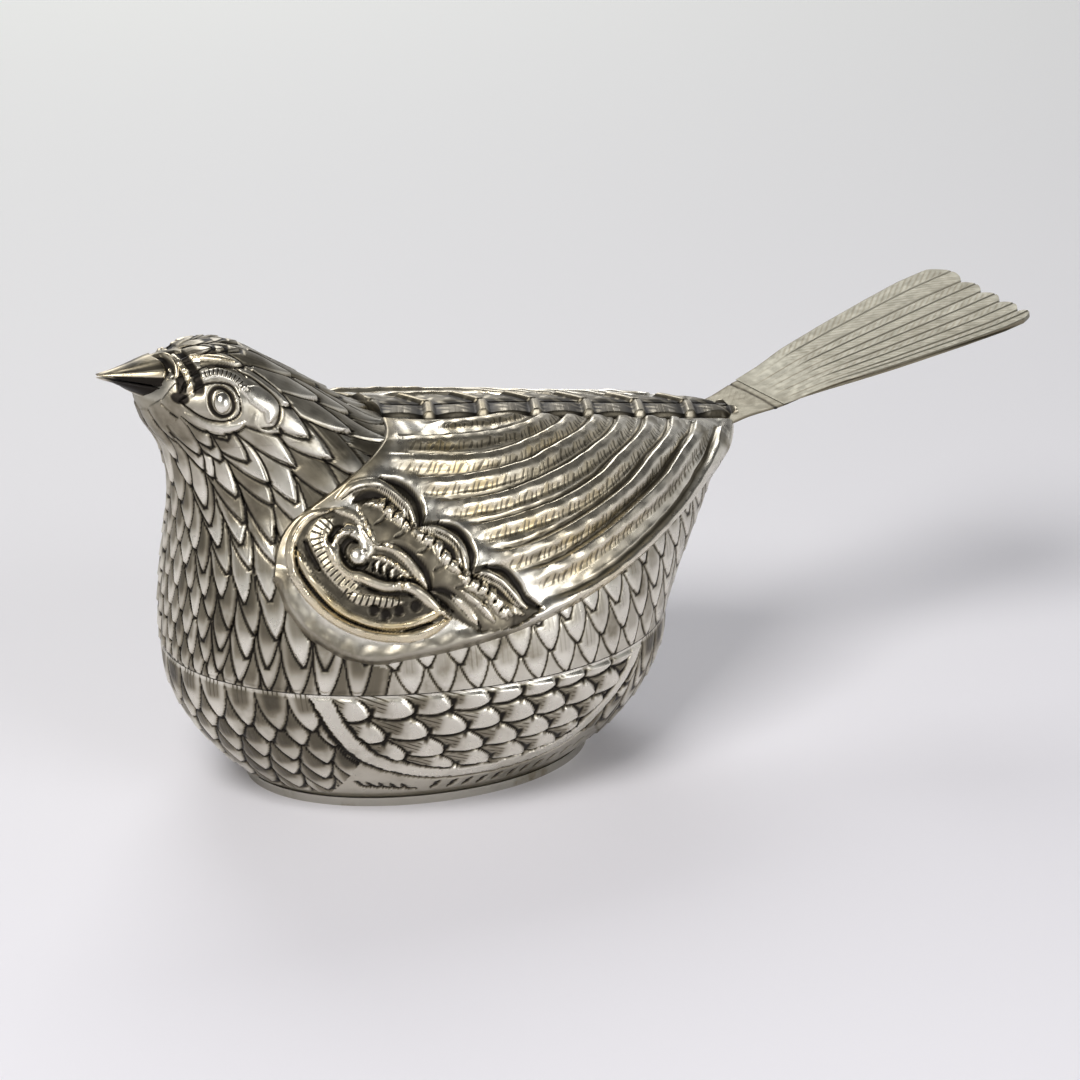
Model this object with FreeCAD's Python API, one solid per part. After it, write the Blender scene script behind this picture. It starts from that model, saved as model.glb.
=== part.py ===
"""Bird-shaped box of chased sheet silver, in millimetres.

A raised bowl stands on a soldered foot plate and carries an upright collar inside its rim.
The lift-off lid slips over that collar. The lid is a raised shell with a head, a two-part beak,
eye studs, two embossed wing plates, a back strap that ends in a tongue, and a tail fan soldered
on that tongue.

+Z is up, the bird faces -X, and its left side is -Y. The origin is the middle of the foot
plate's flat underside.
"""
import FreeCAD, Part

import math
import os

# Body: heights above the foot, and reaches from the origin
SEAM_HEIGHT = 20.6
CROWN_HEIGHT = 65.0
BREAST_REACH = 38.2
RUMP_REACH = 35.0
TAIL_ROOT_REACH = 49.5
HALF_BREADTH = 29.4
WIDEST_REACH = 2.0
SHEET_THICKNESS = 1.0
HEAD_HEIGHT = 12.0

# Foot plate, and the bowl's lower edge that stands on it
FOOT_THICKNESS = 1.2
FOOT_FRONT_REACH = 26.6
FOOT_REAR_REACH = 23.8
FOOT_HALF_BREADTH = 18.6
FOOT_LIP = 0.25

# Collar inside the rim, and the fit of the lid on it
SEAM_GAP = 0.12
COLLAR_THICKNESS = 0.8
COLLAR_SEAT = 4.0
COLLAR_RISE = 3.6
COLLAR_CLEARANCE = 0.25

# Wing plates: outline in side view, the tip's place against the lid's rearmost point, the low
# edge's rise over the seam, the top's drop below the crown, and the relief over the lid
WING_FRONT_REACH = 29.5
WING_TIP_SETBACK = 1.9
WING_TIP_LIFT = 0.6
WING_LOW_RISE = 4.8
WING_TOP_DROP = 11.0
WING_RELIEF = 1.8
WING_LIFT = 0.7
WING_HALF_SPACING = 5.2
FLUTE_DEPTH = 0.8

# Back strap between the wings, and its tongue under the tail
STRAP_FRONT_REACH = 8.6
STRAP_THICKNESS = 0.9
STRAP_WING_GAP = 0.1
TONGUE_THICKNESS = 1.0
TONGUE_SEAT = 3.0
TONGUE_LAP = 6.0
TONGUE_HALF_BREADTH = 6.8
BAR_COUNT = 7
BAR_BREADTH = 2.2
BAR_RELIEF = 0.45

# Tail fan, a flat sheet tilted up towards the tip, whose root lies over the lid's rearmost point
TAIL_ROOT_LIFT = 2.05
TAIL_TILT = 14.0
TAIL_LENGTH = 41.6
TAIL_LAP_START = 5.4
TAIL_THICKNESS = 0.7
TAIL_ROOT_HALF_BREADTH = 8.0
TAIL_HALF_BREADTH = 14.3

# Beak: drops of its axis below the crown, and the mouth line from its tip to below that axis
BEAK_TIP_REACH = 47.4
BEAK_TIP_DROP = 2.8
BEAK_ROOT_REACH = 35.0
BEAK_ROOT_DROP = 5.0
BEAK_ROOT_DEPTH = 9.0
BEAK_HALF_BREADTH = 5.0
MOUTH_LENGTH = 8.6
MOUTH_CORNER_DROP = 0.27
MOUTH_GAP = 0.3

# Eye studs, set on the sides of the head below the crown
EYE_REACH = 33.5
EYE_DROP = 5.9
EYE_RADIUS = 1.75
EYE_RELIEF = 0.95

# One overrun serves every cut
OVERRUN = 5.0

# Points round each body section from a start between beak and eye, and sections up the bowl and the lid
SECTION_POINTS = 24
SECTION_START = 10
BOWL_SECTIONS = 6
LID_SECTIONS = 34
# Sections lie evenly up the lid and crowd at the crown, where the head closes
CROWDING_SHARE = 0.17
CROWDING_POWER = 6

# Lid sections from the seam to the crown. Each row holds shares: rise of the lid's height, front
# and widest place of the breast's reach, rear of the tail root's reach, or of the breast's where it
# lies ahead of the origin, half breadth of the body's, how far the rear is drawn in, and how much of
# a wall's thickness lies above the section, from none on an upright wall to all on the back's roof.
LID_SHARES = (
    (0.000, -1.000, 0.052, 0.707, 1.000, 1.00, 0.0),
    (0.122, -1.000, 0.052, 0.760, 0.993, 1.05, 0.0),
    (0.257, -0.990, 0.047, 0.840, 0.946, 1.10, 0.0),
    (0.392, -0.976, 0.026, 0.935, 0.837, 1.20, 0.0),
    (0.473, -0.969, -0.013, 1.000, 0.728, 1.22, 0.2),
    (0.514, -0.969, -0.065, 0.960, 0.667, 1.20, 0.8),
    (0.550, -0.971, -0.144, 0.778, 0.619, 1.18, 1.0),
    (0.586, -0.974, -0.236, 0.576, 0.571, 1.15, 1.0),
    (0.622, -0.982, -0.327, 0.374, 0.524, 1.10, 1.0),
    (0.653, -0.990, -0.406, 0.172, 0.483, 1.05, 1.0),
    (0.678, -0.997, -0.471, -0.039, 0.449, 1.00, 1.0),
    (0.714, -1.018, -0.550, -0.236, 0.418, 1.00, 1.0),
    (0.786, -1.073, -0.654, -0.380, 0.381, 1.00, 0.8),
    (0.851, -1.092, -0.746, -0.490, 0.347, 1.00, 0.8),
    (0.914, -1.060, -0.798, -0.600, 0.279, 1.00, 0.9),
    (0.955, -1.005, -0.819, -0.670, 0.211, 1.00, 1.0),
    (0.984, -0.937, -0.832, -0.744, 0.129, 1.00, 1.0),
    (0.997, -0.887, -0.838, -0.790, 0.065, 1.00, 1.0),
    (1.000, -0.856, -0.838, -0.819, 0.024, 1.00, 1.0),
)
# A section drawn inwards keeps at least this part of each half length
LEAST_SECTION_SHARE = 0.3

# Wing outline points: along from the front to the tip, and up from the low edge to the top
WING_BELLY_SHARES = (0.567, 0.189)
WING_LOW_SHARES = (0.176, 0.000)
WING_BREAST_SHARES = (0.000, 0.385)
WING_SHOULDER_SHARES = (0.069, 0.678)
WING_NECK_SHARES = (0.195, 0.860)
WING_CREST_SHARES = (0.383, 1.000)
WING_RUMP_SHARES = (0.694, 0.881)

# Crests of the wing's long feathers from the top down, each from its front over its middle to its end,
# as places along and up the wing. A flute is cut between two crests, over a part of the way.
FLUTE_CREST_SHARES = (
    ((0.331, 0.878), (0.441, 0.850), (0.558, 0.818)),
    ((0.233, 0.888), (0.409, 0.825), (0.606, 0.797)),
    ((0.209, 0.846), (0.407, 0.766), (0.651, 0.776)),
    ((0.239, 0.745), (0.438, 0.706), (0.704, 0.752)),
    ((0.276, 0.636), (0.486, 0.643), (0.751, 0.727)),
    ((0.314, 0.531), (0.525, 0.563), (0.799, 0.699)),
    ((0.337, 0.420), (0.584, 0.500), (0.843, 0.671)),
    ((0.392, 0.318), (0.603, 0.423), (0.881, 0.643)),
    ((0.435, 0.178), (0.642, 0.294), (0.917, 0.587)),
)
FLUTE_PART_SHARES = (0.28, 0.84)
# Lobes of the leaf in front of the long feathers: leaf edge, ridge and outer edge, each by three places
LOBE_CREST_SHARES = (
    ((0.175, 0.664), (0.198, 0.622), (0.219, 0.552)),
    ((0.141, 0.745), (0.209, 0.706), (0.233, 0.563)),
    ((0.182, 0.790), (0.245, 0.706), (0.258, 0.580)),
    ((0.227, 0.542), (0.259, 0.476), (0.284, 0.371)),
    ((0.241, 0.552), (0.291, 0.497), (0.300, 0.367)),
    ((0.271, 0.587), (0.310, 0.510), (0.315, 0.385)),
    ((0.287, 0.353), (0.327, 0.273), (0.354, 0.157)),
    ((0.313, 0.353), (0.359, 0.294), (0.393, 0.185)),
    ((0.326, 0.399), (0.380, 0.322), (0.416, 0.192)),
)
LOBE_ROWS = 3
# Sunk ground of the scroll at the shoulder: its two ends, and the middles of its front and rear edges
SCROLL_END_SHARES = ((0.141, 0.608), (0.222, 0.245))
SCROLL_FRONT_SHARES = (0.064, 0.357)
SCROLL_REAR_SHARES = (0.175, 0.448)

# Tail fan: side points as length and flare shares, then the feather joints across the tip and the
# feathers' own lengths from the bird's left to its right, and how deep the notches and outer
# corners fall back
TAIL_SIDE_SHARES = ((0.14, 0.12), (0.42, 0.51), (0.66, 0.81), (0.82, 0.98))
TAIL_JOINT_SHARES = (-0.95, -0.72, -0.38, -0.02, 0.38, 0.97)
TAIL_TIP_SHARES = (0.960, 0.968, 0.976, 0.986, 1.0)
TAIL_NOTCH_SHARE = 0.032
TAIL_CORNER_SHARE = 0.055

# Beak sections: along from root to tip, depth and breadth left
BEAK_SHARES = (
    (0.00, 1.00, 1.00),
    (0.34, 0.76, 0.80),
    (0.66, 0.40, 0.45),
    (0.88, 0.16, 0.20),
    (1.00, 0.05, 0.05),
)

# Heights that follow from the body: the neck, and the lid's rearmost point
LID_HEIGHT = CROWN_HEIGHT - SEAM_HEIGHT
NECK_HEIGHT = CROWN_HEIGHT - HEAD_HEIGHT
REARMOST_RISE_SHARE = max(LID_SHARES, key=lambda row: row[3])[0]
REARMOST_HEIGHT = SEAM_HEIGHT + LID_HEIGHT * REARMOST_RISE_SHARE
TAIL_ROOT_HEIGHT = REARMOST_HEIGHT + TAIL_ROOT_LIFT


def egg_wire(front, widest, rear, half_breadth, draw, height):
    """Closed egg-shaped curve in a level plane, with its blunt end towards -X."""
    points = []
    for step in range(SECTION_POINTS):
        angle = 2 * math.pi * (step + SECTION_START) / SECTION_POINTS
        along = math.cos(angle)
        across = math.sin(angle)
        reach = widest - front if along < 0 else rear - widest
        swell = abs(across) if along < 0 else abs(across) ** draw
        side = math.copysign(half_breadth * swell, across)
        points.append(FreeCAD.Vector(widest + reach * along, side, height))
    knots = [float(step) for step in range(SECTION_POINTS + 1)]
    curve = Part.BSplineCurve()
    curve.interpolate(Points=points, PeriodicFlag=True, Parameters=knots)
    return Part.Wire(curve.toShape())


def drawn(length, inset):
    """A half length of a section after its wall is drawn inwards."""
    return max(length - inset, length * LEAST_SECTION_SHARE)


def level(height):
    return FreeCAD.Vector(0, 0, height)


def slab(low, high):
    """Level slab that takes in the whole body between two heights."""
    reach = 2 * (BEAK_TIP_REACH + TAIL_ROOT_REACH + TAIL_LENGTH)
    corner = FreeCAD.Vector(-reach / 2, -reach / 2, low)
    return Part.makeBox(reach, reach, high - low, corner)


def one_solid(shape):
    """The largest solid of a cut, tidied."""
    solid = max(shape.Solids, key=lambda piece: piece.Volume)
    return solid.removeSplitter()


def bowl_wire(rise, inset):
    """Bowl section at a share of the rise from the foot to the seam: the wall swells as a parabola."""
    swell = 1 - (1 - rise) ** 2
    front = FOOT_FRONT_REACH + (BREAST_REACH - FOOT_FRONT_REACH) * swell
    rear = FOOT_REAR_REACH + (RUMP_REACH - FOOT_REAR_REACH) * swell
    breadth = FOOT_HALF_BREADTH + (HALF_BREADTH - FOOT_HALF_BREADTH) * swell
    widest = WIDEST_REACH * swell
    height = FOOT_THICKNESS + (SEAM_HEIGHT - FOOT_THICKNESS) * rise
    return egg_wire(inset - front, widest, rear - inset, breadth - inset, 1, height)


def bowl_loft(inset):
    """Solid of the bowl up to the seam, its wall drawn in by the inset."""
    rises = [step / (BOWL_SECTIONS - 1) for step in range(BOWL_SECTIONS)]
    return Part.makeLoft([bowl_wire(rise, inset) for rise in rises], True)


def lid_shares(rise):
    """Shares of the lid section at any rise, on smooth curves through the rows that never overshoot them."""
    rises = [row[0] for row in LID_SHARES]
    last = len(rises) - 1
    place = min(max(step for step in range(last + 1) if rises[step] <= rise), last - 1)
    span = rises[place + 1] - rises[place]
    part = (rise - rises[place]) / span
    shares = []
    for column in range(1, len(LID_SHARES[0])):
        values = [row[column] for row in LID_SHARES]
        climbs = []
        for step in range(last):
            climbs.append((values[step + 1] - values[step]) / (rises[step + 1] - rises[step]))
        slopes = [climbs[0]]
        for before, after in zip(climbs, climbs[1:]):
            slopes.append(2 * before * after / (before + after) if before * after > 0 else 0)
        slopes.append(climbs[-1])
        start = values[place] * (1 + 2 * part) + slopes[place] * span * part
        end = values[place + 1] * (3 - 2 * part) - slopes[place + 1] * span * (1 - part)
        shares.append(start * (1 - part) ** 2 + end * part ** 2)
    return shares


def lid_wire(rise, inset, lift):
    """Lid section at a share of its rise, drawn in by the inset, and raised by the lift on a roof."""
    front_share, widest_share, rear_share, breadth_share, draw, roof = lid_shares(rise)
    widest = BREAST_REACH * widest_share
    front = widest - drawn(widest - BREAST_REACH * front_share, inset)
    rear_reach = TAIL_ROOT_REACH if rear_share > 0 else BREAST_REACH
    rear = widest + drawn(rear_reach * rear_share - widest, inset)
    breadth = drawn(HALF_BREADTH * breadth_share, inset)
    height = SEAM_HEIGHT + LID_HEIGHT * rise + lift * roof
    return egg_wire(front, widest, rear, breadth, draw, height)


def lid_loft(inset, lift):
    """Solid of the lid and head together."""
    wires = []
    for step in range(LID_SECTIONS):
        even = step / (LID_SECTIONS - 1)
        rise = even + CROWDING_SHARE * (even - even ** CROWDING_POWER)
        wires.append(lid_wire(rise, inset, lift))
    return Part.makeLoft(wires, True)


def foot_plate():
    front = -FOOT_FRONT_REACH - FOOT_LIP
    plate = egg_wire(front, 0, FOOT_REAR_REACH + FOOT_LIP, FOOT_HALF_BREADTH + FOOT_LIP, 1, 0)
    return Part.Face(plate).extrude(level(FOOT_THICKNESS))


def base_bowl():
    hollow = bowl_loft(SHEET_THICKNESS)
    return one_solid(bowl_loft(0).cut(hollow))


def base_collar():
    """Strip soldered inside the bowl's rim, which stands up into the lid."""
    seat = bowl_loft(SHEET_THICKNESS).common(slab(SEAM_HEIGHT - COLLAR_SEAT, SEAM_HEIGHT))
    seat = seat.cut(bowl_loft(SHEET_THICKNESS + COLLAR_THICKNESS))
    outer = SHEET_THICKNESS + COLLAR_CLEARANCE
    ring = Part.Face(lid_mouth(outer)).cut(Part.Face(lid_mouth(outer + COLLAR_THICKNESS)))
    return one_solid(seat.fuse(ring.extrude(level(COLLAR_RISE))))


def lid_mouth(inset):
    return lid_wire(0, inset, 0)


def lid_and_head():
    """The raised lid shell and the head shell, parted at the neck."""
    hollow = lid_loft(SHEET_THICKNESS, -SHEET_THICKNESS)
    shell = lid_loft(0, 0).cut(hollow)
    lid = shell.common(slab(SEAM_HEIGHT + SEAM_GAP, NECK_HEIGHT))
    head = shell.common(slab(NECK_HEIGHT, CROWN_HEIGHT + OVERRUN))
    return one_solid(lid), one_solid(head)


def wing_point(shares):
    """Point of the wing's outline, from shares of its length and of its height."""
    length = WING_FRONT_REACH + TAIL_ROOT_REACH - WING_TIP_SETBACK
    low = SEAM_HEIGHT + WING_LOW_RISE
    height = CROWN_HEIGHT - WING_TOP_DROP - low
    return FreeCAD.Vector(length * shares[0] - WING_FRONT_REACH, 0, low + height * shares[1])


def left_wing(body):
    """Embossed plate on the flank: a raised layer of the lid inside the wing's outline."""
    tip_reach = TAIL_ROOT_REACH - WING_TIP_SETBACK
    tip = FreeCAD.Vector(tip_reach, 0, REARMOST_HEIGHT + WING_TIP_LIFT)
    stops = (
        (tip, WING_BELLY_SHARES, wing_point(WING_LOW_SHARES)),
        (wing_point(WING_LOW_SHARES), WING_BREAST_SHARES, wing_point(WING_SHOULDER_SHARES)),
        (wing_point(WING_SHOULDER_SHARES), WING_NECK_SHARES, wing_point(WING_CREST_SHARES)),
        (wing_point(WING_CREST_SHARES), WING_RUMP_SHARES, tip),
    )
    arcs = [Part.Arc(start, wing_point(middle), end).toShape() for start, middle, end in stops]
    outline = Part.Wire(arcs)
    prism = Part.Face(outline).extrude(FreeCAD.Vector(0, -HALF_BREADTH - OVERRUN, 0))
    prism.translate(FreeCAD.Vector(0, -WING_HALF_SPACING, 0))
    layer = prism.cut(body).common(lid_loft(-WING_RELIEF, WING_LIFT))
    plate = one_solid(layer.cut(tail_tongue()))
    left = 1 - FLUTE_DEPTH / WING_RELIEF
    floor = lid_loft(-WING_RELIEF * left, WING_LIFT * left)
    grounds = [scroll_ground()]
    for upper, lower in zip(FLUTE_CREST_SHARES, FLUTE_CREST_SHARES[1:]):
        grounds.append(flute(upper, lower))
    for row, (upper, lower) in enumerate(zip(LOBE_CREST_SHARES, LOBE_CREST_SHARES[1:])):
        if (row + 1) % LOBE_ROWS:
            grounds.append(flute(upper, lower))
    for ground in grounds:
        plate = plate.cut(ground.cut(floor))
    return one_solid(plate)


def outward_block(edges):
    """Block over an outline in side view, from the middle plane out past the body's left side."""
    outline = Part.Wire(Part.sortEdges(edges)[0])
    return Part.Face(outline).extrude(FreeCAD.Vector(0, -HALF_BREADTH - OVERRUN, 0))


def scroll_ground():
    top, foot = [wing_point(shares) for shares in SCROLL_END_SHARES]
    edges = []
    for middle in (SCROLL_FRONT_SHARES, SCROLL_REAR_SHARES):
        edges.append(Part.Arc(top, wing_point(middle), foot).toShape())
    return outward_block(edges)


def flute(upper, lower):
    """Block between two crests of the wing."""
    runs = []
    for part in FLUTE_PART_SHARES:
        run = []
        for high, low in zip(upper, lower):
            along = high[0] + (low[0] - high[0]) * part
            run.append(wing_point((along, high[1] + (low[1] - high[1]) * part)))
        runs.append(run)
    edges = [Part.Arc(*run).toShape() for run in runs]
    for end in (0, -1):
        edges.append(Part.LineSegment(runs[0][end], runs[1][end]).toShape())
    return outward_block(edges)


def mirrored(shape):
    return shape.mirror(FreeCAD.Vector(0, 0, 0), FreeCAD.Vector(0, 1, 0))


def in_tail_frame(shape):
    """Carries a shape drawn along +X from the tail's root to its tilted place."""
    shape.rotate(FreeCAD.Vector(0, 0, 0), FreeCAD.Vector(0, 1, 0), -TAIL_TILT)
    shape.translate(FreeCAD.Vector(TAIL_ROOT_REACH, 0, TAIL_ROOT_HEIGHT))
    return shape


def tail_tongue():
    """Flat tongue whose upper face carries the tail."""
    length = TONGUE_SEAT + TAIL_LAP_START + TONGUE_LAP
    corner = FreeCAD.Vector(-TONGUE_SEAT, -TONGUE_HALF_BREADTH, -TONGUE_THICKNESS)
    return in_tail_frame(Part.makeBox(length, 2 * TONGUE_HALF_BREADTH, TONGUE_THICKNESS, corner))


def back_strap(body):
    """Strip along the back with raised bars across it, whose end meets a tongue for the tail."""
    half = WING_HALF_SPACING - STRAP_WING_GAP
    length = STRAP_FRONT_REACH + TAIL_ROOT_REACH + STRAP_THICKNESS
    crest = STRAP_THICKNESS + BAR_RELIEF
    low = TAIL_ROOT_HEIGHT - TONGUE_THICKNESS
    height = NECK_HEIGHT + crest - low
    corner = FreeCAD.Vector(-STRAP_FRONT_REACH, -half, low)
    strip = Part.makeBox(length, 2 * half, height, corner).cut(body)
    strap = strip.common(lid_loft(-crest, crest))
    sheet = lid_loft(-STRAP_THICKNESS, STRAP_THICKNESS)
    pitch = (STRAP_FRONT_REACH + TAIL_ROOT_REACH) / BAR_COUNT
    for row in range(BAR_COUNT):
        place = FreeCAD.Vector(pitch * row - STRAP_FRONT_REACH, -half - OVERRUN, low)
        recess = Part.makeBox(pitch - BAR_BREADTH, 2 * (half + OVERRUN), height, place)
        strap = strap.cut(recess.cut(sheet))
    return one_solid(strap.fuse(tail_tongue().cut(body)))


def tail_fan():
    """Flat fan of feathers with scalloped tips, lapped over the tongue."""
    def place(along, across):
        return FreeCAD.Vector(TAIL_LAP_START + TAIL_LENGTH * along, across, 0)

    flare = TAIL_HALF_BREADTH - TAIL_ROOT_HALF_BREADTH
    joints = [TAIL_HALF_BREADTH * joint for joint in TAIL_JOINT_SHARES]
    corners = [place(TAIL_TIP_SHARES[0] - TAIL_CORNER_SHARE, joints[0])]
    for shorter, joint in zip(TAIL_TIP_SHARES, joints[1:-1]):
        corners.append(place(shorter - TAIL_NOTCH_SHARE, joint))
    corners.append(place(TAIL_TIP_SHARES[-1] - TAIL_CORNER_SHARE, joints[-1]))
    edges = []
    for feather, length in enumerate(TAIL_TIP_SHARES):
        tip = place(length, (joints[feather] + joints[feather + 1]) / 2)
        edges.append(Part.Arc(corners[feather], tip, corners[feather + 1]).toShape())
    roots = []
    for side, corner in ((1, corners[-1]), (-1, corners[0])):
        root = place(0, side * TAIL_ROOT_HALF_BREADTH)
        points = [root]
        for along, swell in TAIL_SIDE_SHARES:
            points.append(place(along, side * (TAIL_ROOT_HALF_BREADTH + flare * swell)))
        points.append(corner)
        curve = Part.BSplineCurve()
        curve.interpolate(points)
        edges.append(curve.toShape())
        roots.append(root)
    edges.append(Part.LineSegment(roots[0], roots[1]).toShape())
    outline = Part.Wire(Part.sortEdges(edges)[0])
    return in_tail_frame(Part.Face(outline).extrude(level(TAIL_THICKNESS)))


def beak(body):
    """Upper and lower bill, parted by the mouth line and seated on the head."""
    length = BEAK_TIP_REACH - BEAK_ROOT_REACH
    root_height = CROWN_HEIGHT - BEAK_ROOT_DROP
    rise = BEAK_ROOT_DROP - BEAK_TIP_DROP
    wires = []
    for along, depth, breadth in BEAK_SHARES:
        centre = FreeCAD.Vector(-BEAK_ROOT_REACH - length * along, 0, root_height + rise * along)
        half_depth = BEAK_ROOT_DEPTH * depth / 2
        half_breadth = BEAK_HALF_BREADTH * breadth
        tall = half_depth >= half_breadth
        major = FreeCAD.Vector(0, 0, half_depth) if tall else FreeCAD.Vector(0, half_breadth, 0)
        minor = FreeCAD.Vector(0, half_breadth, 0) if tall else FreeCAD.Vector(0, 0, half_depth)
        wires.append(Part.Wire(Part.Ellipse(centre + major, centre + minor, centre).toShape()))
    bill = Part.makeLoft(wires, True).cut(body)
    drop = rise * MOUTH_LENGTH / length + MOUTH_CORNER_DROP
    slope = math.degrees(math.atan2(-drop, MOUTH_LENGTH))
    reach = 2 * length
    halves = []
    for low, high in ((MOUTH_GAP / 2, reach), (-reach, -MOUTH_GAP / 2)):
        corner = FreeCAD.Vector(-reach, -reach, low)
        block = Part.makeBox(2 * reach, 2 * reach, high - low, corner)
        block.rotate(FreeCAD.Vector(0, 0, 0), FreeCAD.Vector(0, 1, 0), -slope)
        block.translate(FreeCAD.Vector(-BEAK_TIP_REACH, 0, root_height + rise))
        halves.append(one_solid(bill.common(block)))
    return halves


def left_eye(body):
    """Domed stud whose back follows the head."""
    height = CROWN_HEIGHT - EYE_DROP
    inside = FreeCAD.Vector(-EYE_REACH, 0, height)
    outside = FreeCAD.Vector(-EYE_REACH, -HALF_BREADTH, height)
    skin = Part.makeLine(inside, outside).common(body).BoundBox.YMin
    centre = FreeCAD.Vector(-EYE_REACH, skin - EYE_RELIEF + EYE_RADIUS, height)
    dome = Part.makeSphere(EYE_RADIUS, centre)
    return one_solid(dome.cut(body))


def main():
    body = lid_loft(0, 0)
    lid, head = lid_and_head()
    strap = back_strap(body)
    wing = left_wing(body)
    eye = left_eye(body)
    upper, lower = beak(body)
    pieces = {
        "foot_plate": foot_plate(),
        "base_bowl": base_bowl(),
        "base_collar": base_collar(),
        "lid_shell": lid,
        "head_shell": head,
        "upper_beak": upper,
        "lower_beak": lower,
        "left_eye": eye,
        "right_eye": mirrored(eye),
        "left_wing": wing,
        "right_wing": mirrored(wing),
        "back_strap": strap,
        "tail_fan": tail_fan(),
    }
    os.makedirs("parts", exist_ok=True)
    for name, shape in pieces.items():
        shape.exportStep("parts/" + name + ".step")
        box = shape.BoundBox
        print(f"{name}: {len(shape.Solids)} solid, {shape.Volume:.1f} mm3, valid {shape.isValid()}")
        print(f"  x {box.XMin:.2f} {box.XMax:.2f}, y {box.YMin:.2f} {box.YMax:.2f}, "
              f"z {box.ZMin:.2f} {box.ZMax:.2f}")


main()
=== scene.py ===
"""Looks of the bird-shaped silver box: chased skins over the built pieces, their finishes and a stage.

The skins follow the same egg-shaped sections as the built lid and bowl. Feathers, scrolls and flutes are
raised and cut into them point by point, and four values stay with each point for the finish: patina,
gilt, hatch and lay. Lengths are in millimetres until a piece is made.
"""
import math

import bpy
import numpy as np
from bpy.props import FloatProperty, FloatVectorProperty, IntProperty, PointerProperty
from bpy.types import Operator, Panel, PropertyGroup
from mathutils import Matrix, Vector


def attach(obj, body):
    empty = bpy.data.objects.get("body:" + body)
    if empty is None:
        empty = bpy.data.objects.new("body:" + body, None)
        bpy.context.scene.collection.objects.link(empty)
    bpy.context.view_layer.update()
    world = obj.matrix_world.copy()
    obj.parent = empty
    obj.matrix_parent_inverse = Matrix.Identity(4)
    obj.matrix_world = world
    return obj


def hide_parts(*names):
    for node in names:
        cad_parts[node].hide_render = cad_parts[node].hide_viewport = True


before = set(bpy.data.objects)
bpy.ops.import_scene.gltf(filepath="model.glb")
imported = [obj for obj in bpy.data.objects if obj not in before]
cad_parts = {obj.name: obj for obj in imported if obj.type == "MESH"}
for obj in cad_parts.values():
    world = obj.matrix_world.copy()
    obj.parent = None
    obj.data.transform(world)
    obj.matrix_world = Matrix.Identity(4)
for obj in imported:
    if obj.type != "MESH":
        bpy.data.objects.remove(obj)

bl_info = {
    "name": "Bird-shaped silver box",
    "version": (1, 0, 0),
    "blender": (4, 5, 0),
    "location": "View3D > Sidebar > Bird box",
    "description": "Chased skins, finishes and stage for a bird-shaped silver box",
    "category": "Object",
}

MM = 0.001
SIDES = (-1, 1)
ALL = slice(None)
VALUES = ("patina", "gilt", "hatch", "lay")

# Body: heights of seam and crown, reaches of breast, rump and tail root, half breadth, sheet thickness
SEAM, CROWN = 20.6, 65.0
BREAST, RUMP, TAIL_ROOT = 38.2, 35.0, 49.5
BREADTH, SHEET = 29.4, 1.0
# Foot: height of its top, reach to the front and to the rear, half breadth
FOOT_TOP, FOOT_FRONT, FOOT_REAR, FOOT_BREADTH = 1.2, 26.6, 23.8, 18.6
# Reach and height of the eye
EYE = (-33.5, 59.1)
# Lid sections: rise, then shares of front, widest place, rear and half breadth, and the rear's draw
LID_ROWS = (
    (0.000, -1.000, 0.052, 0.707, 1.000, 1.00),
    (0.122, -1.000, 0.052, 0.760, 0.993, 1.05),
    (0.257, -0.990, 0.047, 0.840, 0.946, 1.10),
    (0.392, -0.976, 0.026, 0.935, 0.837, 1.20),
    (0.473, -0.969, -0.013, 1.000, 0.728, 1.22),
    (0.514, -0.969, -0.065, 0.960, 0.667, 1.20),
    (0.550, -0.971, -0.144, 0.778, 0.619, 1.18),
    (0.586, -0.974, -0.236, 0.576, 0.571, 1.15),
    (0.622, -0.982, -0.327, 0.374, 0.524, 1.10),
    (0.653, -0.990, -0.406, 0.172, 0.483, 1.05),
    (0.678, -0.997, -0.471, -0.039, 0.449, 1.00),
    (0.714, -1.018, -0.550, -0.236, 0.418, 1.00),
    (0.786, -1.073, -0.654, -0.380, 0.381, 1.00),
    (0.851, -1.092, -0.746, -0.490, 0.347, 1.00),
    (0.914, -1.060, -0.798, -0.600, 0.279, 1.00),
    (0.955, -1.005, -0.819, -0.670, 0.211, 1.00),
    (0.984, -0.937, -0.832, -0.744, 0.129, 1.00),
    (0.997, -0.887, -0.838, -0.790, 0.065, 1.00),
    (1.000, -0.856, -0.838, -0.819, 0.024, 1.00),
)


def smooth(low, high, value):
    """An even bend from zero at low to one at high; low may be the larger one."""
    part = np.clip((value - low) / (high - low), 0.0, 1.0)
    return part * part * (3 - 2 * part)


def unit(vectors):
    return vectors / np.maximum(np.linalg.norm(vectors, axis=-1, keepdims=True), 1e-12)


def rows_at(rows, rise):
    """Values of a table at any place, on curves through its rows that never overshoot them."""
    table = np.array(rows)
    rises, values = table[:, 0], table[:, 1:]
    climbs = np.diff(values, axis=0) / np.diff(rises)[:, None]
    before, after = climbs[:-1], climbs[1:]
    total = np.where(before * after > 0, before + after, 1.0)
    inner = np.where(before * after > 0, 2 * before * after / total, 0.0)
    slopes = np.vstack([climbs[:1], inner, climbs[-1:]])
    rise = np.clip(np.asarray(rise, float), 0.0, 1.0)
    place = np.clip(np.searchsorted(rises, rise, side="right") - 1, 0, len(rises) - 2)
    span = (rises[place + 1] - rises[place])[..., None]
    part = (rise - rises[place])[..., None] / span
    start = values[place] * (1 + 2 * part) + slopes[place] * span * part
    end = values[place + 1] * (3 - 2 * part) - slopes[place + 1] * span * (1 - part)
    return np.moveaxis(start * (1 - part) ** 2 + end * part ** 2, -1, 0)


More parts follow.
